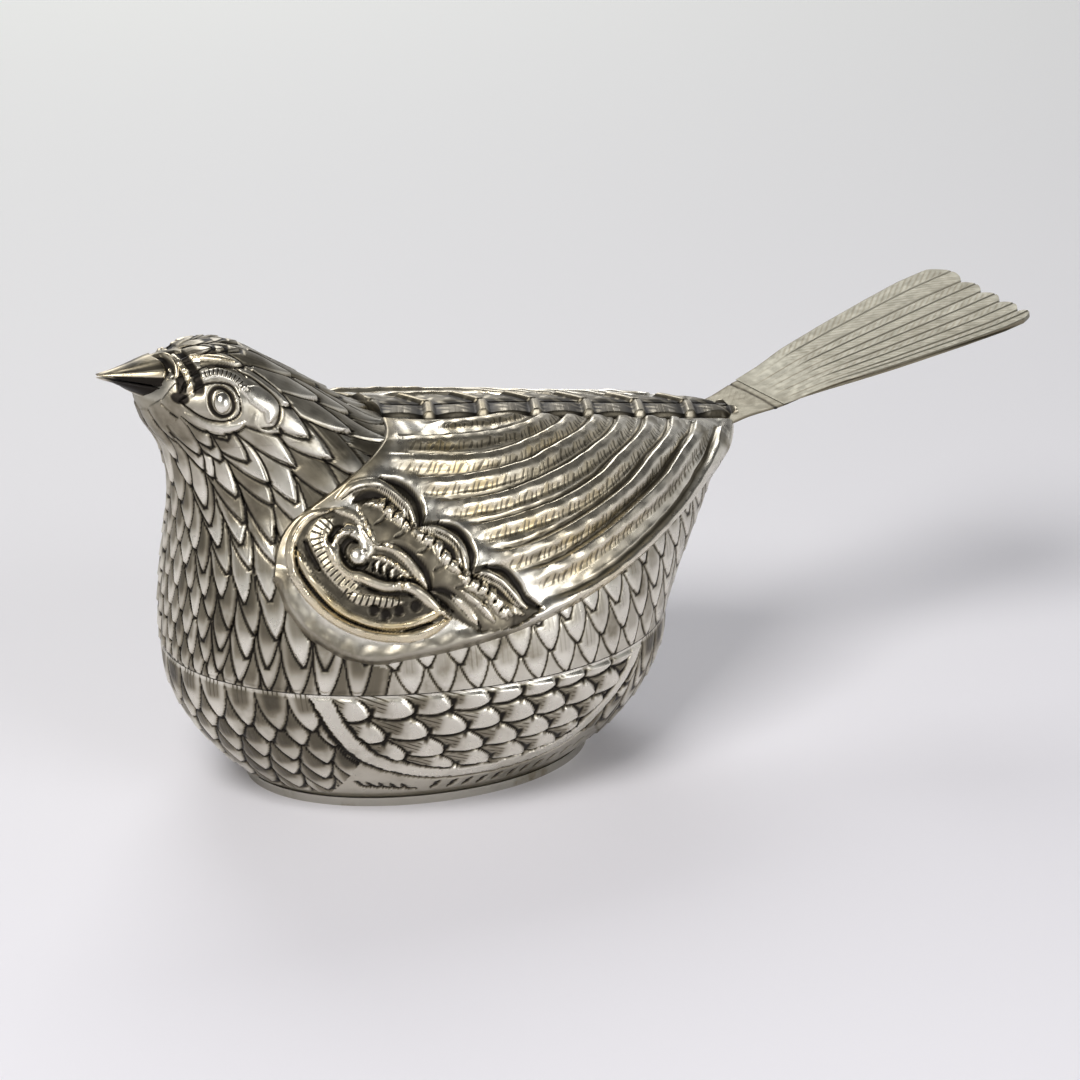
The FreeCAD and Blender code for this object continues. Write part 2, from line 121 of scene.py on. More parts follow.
def egg(angle, front, widest, rear, breadth, draw):
    along, across = np.cos(angle), np.sin(angle)
    x = widest + np.where(along < 0, widest - front, rear - widest) * along
    swell = np.abs(across) ** np.where(along < 0, 1.0, draw)
    return x, breadth * np.sign(across) * swell


def egg_half_breadth(x, front, widest, rear, breadth, draw):
    """Half breadth of an egg-shaped section at a reach, or zero outside it."""
    along = np.where(x < widest, (widest - x) / (widest - front), (x - widest) / (rear - widest))
    return breadth * np.maximum(1 - along ** 2, 0.0) ** (np.where(x < widest, 1.0, draw) / 2)


def lid_section(rise):
    """Front, widest place, rear, half breadth and draw of the lid at a rise."""
    front, widest, rear, breadth, draw = rows_at(LID_ROWS, rise)
    rear = rear * np.where(rear > 0, TAIL_ROOT, BREAST)
    return front * BREAST, widest * BREAST, rear, breadth * BREADTH, draw


def lid_points(angle, rise, inset=0.0):
    """Points of the lid; an inset gives its inner wall."""
    front, widest, rear, breadth, draw = lid_section(rise)
    if inset:
        front = widest - np.maximum(widest - front - inset, 0.3 * (widest - front))
        rear = widest + np.maximum(rear - widest - inset, 0.3 * (rear - widest))
        breadth = np.maximum(breadth - inset, 0.3 * breadth)
    x, y = egg(angle, front, widest, rear, breadth, draw)
    lift = inset * smooth(0.47, 0.55, rise)
    return np.stack([x, y, SEAM + (CROWN - SEAM) * rise - lift + 0 * x], -1)


def bowl_section(rise, inset=0.0):
    """Front, widest place, rear, half breadth and draw of the bowl at a rise."""
    swell = 1 - (1 - rise) ** 2
    front = inset - FOOT_FRONT - (BREAST - FOOT_FRONT) * swell
    rear = FOOT_REAR + (RUMP - FOOT_REAR) * swell - inset
    breadth = FOOT_BREADTH + (BREADTH - FOOT_BREADTH) * swell - inset
    return front, 2 * swell, rear, breadth, 1.0


def bowl_points(angle, rise, inset=0.0):
    x, y = egg(angle, *bowl_section(rise, inset))
    return np.stack([x, y, FOOT_TOP + (SEAM - FOOT_TOP) * rise + 0 * x], -1)


def round_grid(points, columns, rises, inset=0.0):
    """Rows of points right round a body, and their outward normals."""
    angle = np.linspace(0, 2 * math.pi, columns, endpoint=False)[None]
    rise = np.asarray(rises)[:, None]
    low, high = np.clip(rise - 2e-3, 0, 1), np.clip(rise + 2e-3, 0, 1)
    around = points(angle + 4e-3, rise) - points(angle - 4e-3, rise)
    up = points(angle, high) - points(angle, low)
    return points(angle, rise, inset), unit(np.cross(around, up))


def half_breadth(x, z):
    """Half breadth of the lid at a reach and a height, or zero outside it."""
    return egg_half_breadth(x, *lid_section((z - SEAM) / (CROWN - SEAM)))


def roof_height(x, y):
    """Height of the back over a reach and a side distance."""
    low = np.full(np.broadcast(x, y).shape, 38.0)
    high = np.full_like(low, 60.0)
    for _ in range(36):
        middle = (low + high) / 2
        under = half_breadth(x + 0 * low, middle) > np.abs(y)
        low = np.where(under, middle, low)
        high = np.where(under, high, middle)
    return low


def side_point(x, z, side=-1):
    return np.stack([x, side * half_breadth(x, z), z], -1)


def side_normal(x, z, side=-1):
    step = 0.03
    slope_x = (half_breadth(x + step, z) - half_breadth(x - step, z)) / (2 * step)
    slope_z = (half_breadth(x, z + step) - half_breadth(x, z - step)) / (2 * step)
    return unit(np.stack([-slope_x, side + 0 * x, -slope_z], -1))


def resample(line, step):
    """The same line with points a step apart."""
    run = np.concatenate([[0], np.cumsum(np.linalg.norm(np.diff(line, axis=0), axis=1))])
    marks = np.linspace(0, run[-1], max(int(run[-1] / step), 4) + 1)
    return np.stack([np.interp(marks, run, line[:, k]) for k in range(line.shape[1])], -1)


def curve(points, step=0.25):
    """Smooth line through a few placed points."""
    points = np.array(points, float)
    ends = np.vstack([2 * points[0] - points[1], points, 2 * points[-1] - points[-2]])
    part = np.linspace(0, 1, 24, endpoint=False)[:, None]
    runs = []
    for a, b, c, d in zip(ends, ends[1:], ends[2:], ends[3:]):
        bend = 2 * b + (c - a) * part + (2 * a - 5 * b + 4 * c - d) * part ** 2
        runs.append((bend + (3 * b - a - 3 * c + d) * part ** 3) / 2)
    return resample(np.vstack(runs + [points[-1:]]), step)


def flank_curve(points, side=-1, step=0.25):
    """Smooth line on the lid's side through points given as reach and height."""
    line = curve(points, step)
    return side_point(line[:, 0], line[:, 1], side)


def moved(points, reach, rise):
    return [(x + reach, z + rise) for x, z in points]


def enclosed(x, z, corners):
    """Whether points lie inside an outline in side view."""
    hit = np.zeros(x.shape, bool)
    for (x0, z0), (x1, z1) in zip(corners, np.roll(corners, -1, axis=0)):
        crossing = (z0 > z) != (z1 > z)
        hit ^= crossing & (x < (x1 - x0) * (z - z0) / (z1 - z0 + 1e-12) + x0)
    return hit


class Field:
    """Surface points with their normals, and the relief and finish values laid on them."""

    def __init__(self, points, normals):
        self.place = np.ascontiguousarray(points.reshape(-1, 3))
        self.normal = np.ascontiguousarray(normals.reshape(-1, 3))
        self.height = np.zeros(len(self.place))
        for key in VALUES:
            setattr(self, key, np.zeros(len(self.place)))

    def raised(self):
        return self.place + self.normal * self.height[:, None]

    def values(self, shape, plain=0, patina=0.0, part=ALL):
        """Finish values as grids, with rows of plain metal after them."""
        grids = {}
        for key in VALUES:
            value = getattr(self, key)[part].reshape(shape)
            if key != "lay":
                value = np.clip(value, 0, 1)
            blank = np.full((plain, shape[1]), patina if key == "patina" else 0.0)
            grids[key] = np.concatenate([value, blank])
        return grids

    def darken(self, near, patina):
        self.patina[near] = np.maximum(self.patina[near], patina)

    def gild(self, near, gilt):
        self.gilt[near] = np.maximum(self.gilt[near], gilt)

    def flatten(self, near, share, height, patina):
        """Brings points to one height and tone, by a share."""
        self.height[near] = self.height[near] * (1 - share) + height * share
        self.patina[near] = self.patina[near] * (1 - share) + patina * share
        self.hatch[near] *= 1 - share

    def polish(self, near, share, gilt=0.0):
        """Clears points of patina and hatching, by a share."""
        self.patina[near] *= 1 - 0.9 * share
        self.gilt[near] = np.maximum(self.gilt[near] * (1 - share), gilt * share)
        self.hatch[near] *= 1 - share

    def leaf(self, root, aim, width, length, tone, lift, dome, line, tip, cut, ink, hatch, strokes, patch,
             power, within=None):
        """One feather from its root along the aim, over what was laid before.

        Lift and dome raise its tip and its middle. Line and tip give the breadth of its dark edge, cut and
        ink the edge's depth and darkness. Hatch, strokes and patch give the fine cuts near the root, and
        power the fullness of its outline.
        """
        normal = self.normal[((self.place - root) ** 2).sum(1).argmin()]
        aim = np.array(aim)
        aim = unit(aim - normal * (aim @ normal))
        middle = root + aim * length * 0.5
        reach = 0.5 * length + 0.6 * width
        near = np.nonzero(((self.place - middle) ** 2).sum(1) < reach * reach)[0]
        near = near[self.normal[near] @ normal > 0.15]
        if within is not None:
            near = near[within[near]]
        offset = self.place[near] - root
        u = offset @ aim / length
        v = offset @ np.cross(normal, aim)
        share = np.clip(u, 0, 1)
        half = width / 2 * np.maximum(1 - share ** power, 1e-4) ** 0.75
        slope = 0.75 * power * share ** (power - 1) * width / 2 / length
        slope = slope * np.maximum(1 - share ** power, 1e-2) ** -0.25
        edge = (half - np.abs(v)) / np.sqrt(1 + slope ** 2)
        edge = np.minimum(edge, (1 - u) * length)
        body = (edge > 0) & (u > -0.3)
        at = near[body]
        e, s, w = edge[body], np.clip(u[body], 0, 1), v[body] / half[body]
        self.height[at] = (lift * s + dome * (1 - w ** 2)) * smooth(-0.05, 0.4, e)
        self.patina[at] = tone + 0.3 * (1 - smooth(0, 0.3, e)) + 0.22 * (1 - smooth(0.35, 0.85, s))
        self.gilt[at] = 0
        smear = smooth(0.3, 0.7, e) * (1 - smooth(0.35, 0.75, np.abs(w)))
        smear = smear * (1 - smooth(0.6 * patch, patch, s))
        self.hatch[at] = hatch * smear
        self.patina[at] += 0.3 * hatch * smear
        self.lay[at] = strokes * v[body] / width + 0.4 * s
        shade = line + tip * share ** 2
        rim = (edge <= 0) & (edge > -shade) & (u > -0.05)
        at = near[rim]
        deep = 1 - smooth(0.35, 1.0, -edge[rim] / shade[rim])
        self.darken(at, ink * deep)
        self.height[at] -= cut * deep
        self.hatch[at] *= 1 - deep

    def along(self, line, reach):
        """Points near a line: run along it, signed distance across it, distance, and the line's length."""
        low, high = line.min(0) - reach, line.max(0) + reach
        near = np.nonzero(((self.place > low) & (self.place < high)).all(1))[0]
        if not len(near):
            return near, np.zeros(0), np.zeros(0), np.zeros(0), 1.0
        points = self.place[near]
        gaps = (points ** 2).sum(1)[:, None] - 2 * points @ line.T + (line ** 2).sum(1)[None]
        best = gaps.argmin(1)
        run = np.concatenate([[0], np.cumsum(np.linalg.norm(np.diff(line, axis=0), axis=1))])
        ahead = unit(np.gradient(line, axis=0))[best]
        offset = points - line[best]
        step = (offset * ahead).sum(1)
        place = run[best] + step
        off = offset - ahead * step[:, None]
        sign = np.sign((off * np.cross(ahead, self.normal[near])).sum(1))
        beyond = np.maximum(np.maximum(-place, place - run[-1]), 0)
        away = np.linalg.norm(off, axis=1)
        distance = np.hypot(away, beyond)
        keep = distance < reach
        place = np.clip(place, 0, run[-1])
        return near[keep], place[keep], (sign * away)[keep], distance[keep], run[-1]

    def tapered(self, line, width, taper):
        """Points near a line, and their distance as a share of its half width, narrower at both ends."""
        near, place, _, distance, total = self.along(line, width)
        fade = np.minimum(place, total - place) / (taper * total + 1e-6)
        return near, distance / (width / 2 * np.clip(fade + 0.3, 0.3, 1))

    def groove(self, line, width, depth, ink=0.95, taper=0.25):
        near, share = self.tapered(line, width, taper)
        deep = 1 - smooth(0.3, 1.0, share)
        self.height[near] -= depth * deep
        self.darken(near, ink * deep)
        self.gilt[near] *= 1 - deep
        self.hatch[near] *= 1 - deep

    def ridge(self, line, width, height, gilt=0.0, taper=0.25):
        near, share = self.tapered(line, width, taper)
        high = np.sqrt(np.maximum(1 - share ** 2, 0))
        self.height[near] += height * high
        self.polish(near, smooth(0.0, 0.6, high), gilt)

    def boss(self, centre, radius, height, ring):
        """Round knob with a dark edge, which ends a ring's breadth outside it."""
        distance = np.linalg.norm(self.place - centre, axis=1)
        near = np.nonzero(distance < radius + ring)[0]
        distance = distance[near]
        share = distance / radius
        self.height[near] += height * np.sqrt(np.maximum(1 - share ** 2, 0))
        self.polish(near, smooth(1.05, 0.9, share))
        trench = smooth(0.9, 1.05, share) * (1 - smooth(radius + 0.4 * ring, radius + ring, distance))
        self.darken(near, 0.95 * trench)
        self.height[near] -= 0.15 * trench

    def strokes(self, line, half, pitch, slant=0.0, tone=0.0):
        """Fine cut strokes across a line, drawn by the finish."""
        near, place, away, _, _ = self.along(line, half * 1.05)
        mask = 1 - smooth(0.7, 1.0, np.abs(away) / half)
        keep = mask > 0.05
        near, mask = near[keep], mask[keep]
        self.hatch[near] = np.maximum(self.hatch[near] * (1 - mask), mask)
        self.lay[near] = place[keep] / pitch + slant * away[keep]
        self.darken(near, tone * mask)


def sheet_piece(name, points, values, close_rows=False, close_columns=False, angle=60):
    """A grid whose points take the given places; edges that meet are merged."""
    grids = {"co": points, **values}
    for key, grid in grids.items():
        if close_columns:
            grid = np.concatenate([grid, grid[:, :1]], axis=1)
        if close_rows:
            grid = np.concatenate([grid, grid[:1]], axis=0)
        grids[key] = np.ascontiguousarray(grid, dtype=np.float32)
    rows, columns = grids["co"].shape[:2]
    bpy.ops.object.select_all(action="DESELECT")
    bpy.ops.mesh.primitive_grid_add(
        x_subdivisions=columns - 1, y_subdivisions=rows - 1, size=1, location=(0, 0, 0))
    piece = bpy.context.active_object
    piece.name = name
    mesh = piece.data
    mesh.name = name
    if len(mesh.vertices) != rows * columns:
        raise RuntimeError(f"{name}: the grid has {len(mesh.vertices)} points, not {rows * columns}")
    mesh.vertices.foreach_set("co", (grids["co"] * MM).ravel())
    for key in values:
        mesh.attributes.new(key, "FLOAT", "POINT").data.foreach_set("value", grids[key].ravel())
    for layer in list(mesh.uv_layers):
        mesh.uv_layers.remove(layer)
    mesh.update()
    bpy.ops.object.mode_set(mode="EDIT")
    bpy.ops.mesh.select_all(action="SELECT")
    bpy.ops.mesh.remove_doubles(threshold=1e-6)
    bpy.ops.mesh.normals_make_consistent(inside=False)
    bpy.ops.object.mode_set(mode="OBJECT")
    bpy.ops.object.shade_smooth_by_angle(angle=math.radians(angle))
    return piece


def finish_piece(piece, body, material, slot, *nodes):
    piece.data.materials.clear()
    piece.data.materials.append(material)
    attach(piece, body)
    if nodes:
        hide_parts(*nodes)


def capped(loop, values):
    """The same tube with both ends drawn to a point."""
    ends = [np.broadcast_to(loop[:, k].mean(0), loop[:, :1].shape) for k in (0, -1)]
    loop = np.concatenate([ends[0], loop, ends[1]], axis=1)
    return loop, {key: np.concatenate([v[:, :1], v, v[:, -1:]], axis=1) for key, v in values.items()}


class Nodes:
    """Short words for wiring the nodes of a material or a world."""

    def __init__(self, owner):
        owner.use_nodes = True
        self.tree = owner.node_tree
        self.tree.nodes.clear()

    def add(self, kind, sockets=(), **settings):
        """A node with its settings, and with what feeds its sockets."""
        node = self.tree.nodes.new("ShaderNode" + kind)
        for key, value in settings.items():
            setattr(node, key, value)
        for key, source in dict(sockets).items():
            if isinstance(source, bpy.types.NodeSocket):
                self.tree.links.new(source, node.inputs[key])
            else:
                node.inputs[key].default_value = source
        return node

    def math(self, operation, first, second=0.0, clamp=False):
        return self.add("Math", {0: first, 1: second}, operation=operation, use_clamp=clamp).outputs[0]

    def ramp(self, value, low, high, start=0.0, end=1.0, bend="SMOOTHSTEP"):
        sockets = {"Value": value, "From Min": low, "From Max": high, "To Min": start, "To Max": end}
        return self.add("MapRange", sockets, interpolation_type=bend).outputs["Result"]

    def noise(self, place, scale, detail):
        sockets = {"Vector": place, "Scale": scale, "Detail": detail, "Roughness": 0.55}
        return self.add("TexNoise", sockets).outputs["Fac"]

    def mix(self, amount, first, second):
        """A blend of two colours, whose sockets on this node are 6 and 7."""
        return self.add("Mix", {"Factor": amount, 6: first, 7: second}, data_type="RGBA").outputs[2]


class BirdSizes(PropertyGroup):
    feather_lift: FloatProperty(
        name="Feather lift", description="How far feather tips stand over the next row, mm", default=0.34)
    groove_depth: FloatProperty(
        name="Groove depth", description="Depth of the cut lines, mm", default=0.16)
    line_breadth: FloatProperty(
        name="Line breadth", description="Breadth of the dark line round a feather, mm", default=0.32)
    bowl_columns: IntProperty(
        name="Bowl columns", description="Points round the bowl", default=840)
    lid_columns: IntProperty(
        name="Lid columns", description="Points round the lid", default=1180)


class BirdColours(PropertyGroup):
    metal: FloatVectorProperty(
        name="Silver", description="Bright silver", subtype="COLOR", default=(0.76, 0.725, 0.64))
    toning: FloatVectorProperty(
        name="Toning", description="Brownish film between bright and dark", subtype="COLOR",
        default=(0.27, 0.238, 0.175))
    tarnish: FloatVectorProperty(
        name="Tarnish", description="Dark of the cut lines", subtype="COLOR", default=(0.022, 0.019, 0.016))
    gold: FloatVectorProperty(
        name="Gilding", description="Worn gilding", subtype="COLOR", default=(0.72, 0.56, 0.27))
    sheet: FloatVectorProperty(
        name="Tail sheet", description="Dull sheet silver", subtype="COLOR", default=(0.285, 0.272, 0.22))
    floor: FloatVectorProperty(
        name="Floor", description="Pale floor", subtype="COLOR", default=(0.82, 0.81, 0.86))


# Finishes: name of the bright colour, share of it, roughness, grain and stains
FINISHES = {
    "chased_silver": ("metal", 1.0, 0.26, 0.25, 0.35),
    "satin_silver": ("metal", 0.6, 0.34, 0.30, 0.70),
    "bead_silver": ("metal", 1.0, 0.20, 0.12, 0.25),
    "dull_silver": ("sheet", 1.0, 0.46, 0.30, 0.16),
}


def silver(context, name):
    """Aged silver: dark in the cuts, bright on the high places, with worn gilding where it is laid."""
    if name in bpy.data.materials:
        return bpy.data.materials[name]
    tint, share, rough, grain, wear = FINISHES[name]
    colours = context.scene.bird_colours
    metal = (*(share * value for value in getattr(colours, tint)), 1)
    gold, toning, tarnish = ((*colour, 1) for colour in (colours.gold, colours.toning, colours.tarnish))
    material = bpy.data.materials.new(name)
    nodes = Nodes(material)
    place = nodes.add("TexCoord").outputs["Object"]
    patina, gilt, hatch, lay = (nodes.add("Attribute", attribute_name=key).outputs["Fac"] for key in VALUES)
    cloud = nodes.noise(place, 140.0, 4.0)
    speck = nodes.noise(place, 700.0, 3.0)
    fine = nodes.noise(place, 2600.0, 2.0)
    wave = nodes.math("ABSOLUTE", nodes.math("SUBTRACT", nodes.math("FRACT", lay), 0.5))
    strokes = nodes.math("MULTIPLY", nodes.ramp(wave, 0.14, 0.24, 1.0, 0.0), hatch)
    stain = nodes.ramp(cloud, 0.42, 0.75, 0.0, wear)
    stain = nodes.math("MULTIPLY", stain, nodes.ramp(speck, 0.3, 0.7, 0.5, 1.0))
    dark = nodes.math("MAXIMUM", patina, nodes.math("MULTIPLY", strokes, 0.8))
    stain = nodes.math("MULTIPLY", stain, nodes.math("SUBTRACT", 1.0, dark))
    dark = nodes.math("ADD", dark, stain, clamp=True)
    worn = nodes.math("MULTIPLY", gilt, nodes.ramp(cloud, 0.3, 0.62, 1.0, 0.45))
    colour = nodes.mix(worn, metal, gold)
    colour = nodes.mix(nodes.ramp(dark, 0.05, 0.6), colour, toning)
    colour = nodes.mix(nodes.ramp(dark, 0.35, 0.95), colour, tarnish)
    gloss = nodes.ramp(speck, 0.25, 0.75, rough - 0.06, rough + 0.08)
    gloss = nodes.math("ADD", gloss, nodes.math("MULTIPLY", dark, 0.22))
    relief = nodes.math("ADD", nodes.math("MULTIPLY", fine, 0.35), nodes.math("MULTIPLY", speck, 0.65))
    relief = nodes.math("SUBTRACT", relief, nodes.math("MULTIPLY", strokes, 1.2))
    bump = nodes.add("Bump", {"Strength": grain, "Distance": 0.00012, "Height": relief})
    surface = nodes.add("BsdfPrincipled", {
        "Base Color": colour, "Metallic": 1.0, "Roughness": gloss, "Normal": bump.outputs["Normal"]})
    nodes.add("OutputMaterial", {"Surface": surface.outputs["BSDF"]})
    return material


# Feathers of each part: see Field.leaf for the words
FLANK_FEATHER = dict(lift=0.16, dome=0.06, line=0.3, tip=0.2, cut=0.09, ink=0.9, hatch=0.45, strokes=6,
                     patch=0.6, power=1.7)
BREAST_FEATHER = dict(dome=0.2, tip=0.2, ink=0.98, strokes=7, patch=0.7, power=1.8)
# The forehead's feathers take a darker tone: painted dark reflection that keeps the top of the head from
# shining with the key lamp
CROWN_FEATHER = dict(lift=0.25, dome=0.2, line=0.32, tip=0.25, cut=0.14, ink=0.95, tone=0.3, hatch=0.3,
                     strokes=6, patch=0.7, power=1.8)
CHIN_FEATHER = dict(lift=0.3, dome=0.18, line=0.3, tip=0.2, cut=0.14, ink=0.95, tone=0.15, hatch=0.3,
                    strokes=6, patch=0.7, power=1.8)
BOWL_FEATHER = dict(lift=0.3, dome=0.12, tip=0.36, ink=0.97, hatch=0.8, strokes=7, patch=0.6, power=1.9)
THIGH_FEATHER = dict(lift=0.45, dome=0.2, line=0.46, tip=0.3, cut=0.2, ink=0.98, hatch=0.9, strokes=7,
                     patch=0.5, power=3.4)

# Heights of the feather tips on the flank, row by row
FLANK_TIPS = (20.9, 24.6, 28.2, 31.8, 35.4, 39.0)
FLANK_WIDTH = 4.3
# Breast rows lie in planes through a pivot in front of the bird, at these tilts
PIVOT = (-58.0, 30.0)
ROW_TILTS = (-30, -24.5, -18, -11, -3.4, 4.4, 12, 19.2, 25.8, 32, 38, 44, 50, 56, 62)
LAST_GAP = 7
# Roots of the forehead's feathers as reach and side distance, of the chin's as reach and height
CROWN_SPOTS = ((-31.5, 0.0), (-32.4, 2.4), (-32.4, -2.4), (-33.0, 4.6), (-33.0, -4.6), (-33.6, 0.0),
               (-34.6, 2.2), (-34.6, -2.2), (-35.6, 0.0), (-36.2, 1.8), (-36.2, -1.8))
CHIN_SPOTS = ((-36.2, 54.4), (-37.4, 53.2), (-37.4, 56.4), (-38.4, 55.2))
# Crescents behind the beak: reach, half breadth, height, gilt and patina
BEAK_CRESCENTS = (
    (-37.6, 0.65, -0.15, 0.0, 0.98),
    (-36.7, 0.5, 0.18, 0.5, 0.05),
    (-35.7, 0.75, -0.2, 0.0, 0.98),
)


def both_sides(point):
    if abs(point[1]) < 0.05:
        return [np.array([point[0], 0.0, point[2]])]
    return [point, point * np.array([1, -1, 1])]


def feather_flanks(field, rng):
    angles = np.linspace(math.pi, 2 * math.pi, 600)
    for row, tip in enumerate(FLANK_TIPS):
        rise = (tip + 4.9 - SEAM) / (CROWN - SEAM)
        line = lid_points(angles, np.full_like(angles, rise))
        line = resample(line[line[:, 0] > -27], FLANK_WIDTH / 2)
        for point in line[row % 2::2]:
            for place in both_sides(point):
                field.leaf(place, (0.12, 0, -1.0), FLANK_WIDTH, 5.0 + 0.3 * rng.random(),
                           tone=-0.1 + 0.14 * rng.random(), **FLANK_FEATHER)


def tilted_row(tilt):
    """Line on the lid's left half, from the breast's middle, in a plane through the pivot in front."""
    rises = np.linspace(0, 1, 700)
    angles = np.linspace(math.pi, 2 * math.pi, 241)
    points = lid_points(angles[:, None], rises[None])
    lean = np.degrees(np.arctan2(points[..., 2] - PIVOT[1], points[..., 0] - PIVOT[0]))
    line = []
    for run, lean_run in zip(points, lean):
        over = np.nonzero((lean_run[:-1] < tilt) & (lean_run[1:] >= tilt))[0]
        if len(over):
            k = over[0]
            part = (tilt - lean_run[k]) / (lean_run[k + 1] - lean_run[k])
            line.append(run[k] + part * (run[k + 1] - run[k]))
    return np.array(line)


def feather_breast(field, sizes, rng):
    """Rows over breast, neck and head, each over the one below it and half a feather on from it."""
    step = 0.2
    for order, (tilt, turn) in enumerate(zip(ROW_TILTS, np.append(np.diff(ROW_TILTS), LAST_GAP))):
        line = tilted_row(tilt)
        if len(line) < 4:
            continue
        line = resample(line, step)
        place, offset_start = 0.0, order % 2
        while place < step * (len(line) - 1):
            point = line[min(int(place / step), len(line) - 1)]
            gap = math.hypot(point[0] - PIVOT[0], point[2] - PIVOT[1]) * math.radians(turn)
            width = min(max(1.1 * gap, 2.9), 4.2) * (0.9 + 0.2 * rng.random())
            if offset_start:
                place += width / 2
                offset_start = 0
                continue
            if point[0] < (-19.0 if point[2] < 44 else -8.0):
                for spot in both_sides(point):
                    lean = math.radians(tilt + 16 * (rng.random() - 0.5))
                    length = min(2.1 * gap, 8.4) * (0.92 + 0.16 * rng.random())
                    field.leaf(spot, (math.sin(lean), 0, -math.cos(lean)), width, length,
                               tone=0.04 + 0.26 * rng.random(), lift=sizes.feather_lift,
                               line=sizes.line_breadth, cut=sizes.groove_depth,
                               hatch=0.2 if point[2] > 47 else 0.55, **BREAST_FEATHER)
            place += width * 0.97


def feather_crown(field):
    """Small feathers over the forehead, the foremost on top, and under the chin."""
    top = np.nonzero(field.place[:, 2] > 60.5)[0]
    for x, y in CROWN_SPOTS:
        away = np.hypot(field.place[top, 0] - x, field.place[top, 1] - y)
        field.leaf(field.place[top[away.argmin()]], (1.0, 0.12 * y, -0.1), 3.1, 4.2, **CROWN_FEATHER)
    for x, z in CHIN_SPOTS:
        for side in SIDES:
            field.leaf(side_point(x, z, side), (0.72, 0, -0.7), 2.9, 4.4, **CHIN_FEATHER)


def eye_ornament(field, side):
    """Rims, brow and lobe round the eye."""
    def line(*points):
        return flank_curve(moved(points, *EYE), side, 0.15)

    offset = (field.place - side_point(*EYE, side)) * np.array([0.85, 0.6, 1.0])
    distance = np.linalg.norm(offset, axis=1)
    near = np.nonzero((distance < 5.0) & (field.place[:, 1] * side > 0))[0]
    field.flatten(near, 1 - smooth(3.6, 4.6, distance[near]), 0.2, 0.36)
    lobe = line((3.0, 1.2), (4.6, 0.4), (6.2, -1.2), (5.8, -2.8))
    near, _, _, distance, _ = field.along(lobe, 2.2)
    field.flatten(near, 1 - smooth(1.5, 2.0, distance), 0.2, 0.3)
    field.ridge(lobe, 2.8, 0.4, taper=0.4)
    field.groove(line((2.6, 3.4), (4.6, 2.4), (6.6, 0.4), (7.6, -1.4), (6.6, -3.6), (4.6, -3.8)), 0.6, 0.25)
    upper = line((-3.6, 1.6), (-2.4, 2.7), (0, 3.3), (2.2, 2.6), (3.4, 1.2))
    field.ridge(upper, 1.5, 0.3)
    field.strokes(upper, 0.6, 0.55)
    field.groove(line((-4.6, 1.2), (-3.4, 2.7), (-0.6, 4.1), (2.7, 3.7), (4.0, 2.4)), 0.55, 0.25)
    field.ridge(line((-4.8, 3.4), (-3.2, 4.3), (-1.2, 4.8), (1.2, 4.6), (3.0, 4.0)), 1.1, 0.3, gilt=0.8)
    field.groove(line((-5.0, 2.7), (-4.0, 3.2), (-2.6, 3.6)), 0.8, 0.3)
    ring = [(1.5 * math.cos(k * math.pi / 6), 1.8 * math.sin(k * math.pi / 6)) for k in range(13)]
    field.groove(line(*ring), 0.85, 0.3, taper=0.001)
    for lid in (((-3.4, 1.3), (-1.9, 2.1), (0, 2.3), (1.7, 1.8)),
                ((-3.2, -1.4), (-1.4, -2.3), (0.6, -2.4), (2.0, -1.5))):
        field.groove(line((-4.9, 0.2), *lid, (2.3, 0.4)), 0.5, 0.25)
    field.ridge(line((-4.4, -1.3), (-2.6, -2.7), (-0.4, -3.4), (1.4, -3.3), (2.5, -2.6)), 1.1, 0.25)
    field.groove(line((-4.8, -1.8), (-3.0, -3.5), (-0.6, -4.4), (1.6, -4.1), (2.8, -3.2)), 0.55, 0.22)


def chase_face(field):
    """Crescents behind the beak, and painted shade on the chin under the beak and in the crease where the
    beak's halves meet the head.
    """
    x, y, z = field.place.T
    bow = x + 0.10 * (z - 62.0) ** 2
    span = smooth(59.6, 60.6, z) * (1 - smooth(63.8, 64.6, z)) * (x < -33.0) * smooth(0.4, 1.2, np.abs(y))
    for middle, broad, height, gilt, patina in BEAK_CRESCENTS:
        part = (1 - smooth(0.45, 1.0, np.abs(bow - middle) / broad)) * span
        field.height += height * part
        field.hatch *= 1 - part
        field.gilt = field.gilt * (1 - part) + gilt * part
        field.patina = field.patina * (1 - part) + patina * part
    # Painted shade: the chin under the beak is darkened
    chin = (1 - smooth(-37.5, -34.5, x)) * (1 - smooth(58.5, 60.0, z)) * smooth(50.0, 53.0, z)
    field.darken(ALL, 0.42 * chin)
    # Painted shade: a dark patch in the crease where the beak's halves meet the cheek
    painted_corner_shade = np.exp(-((x + 38.2) / 1.1) ** 2 - ((z - 59.6) / 0.8) ** 2) * (x < -34)
    field.darken(ALL, 0.95 * smooth(0.25, 0.6, painted_corner_shade))


def chase_lid(field, sizes):
    rng = np.random.default_rng(7)
    field.patina[:] = 0.25
    feather_flanks(field, rng)
    feather_breast(field, sizes, rng)
    feather_crown(field)
    for side in SIDES:
        eye_ornament(field, side)
    chase_face(field)
    # The seam's edge keeps a narrow plain lip, and the crown closes smoothly
    z = field.place[:, 2]
    field.height *= smooth(20.9, 21.5, z) * (1 - smooth(64.9, 65.0, z))
    field.height = np.minimum(field.height, (CROWN - z) * 0.6)


# Patina inside the box
INSIDE_PATINA = 0.35


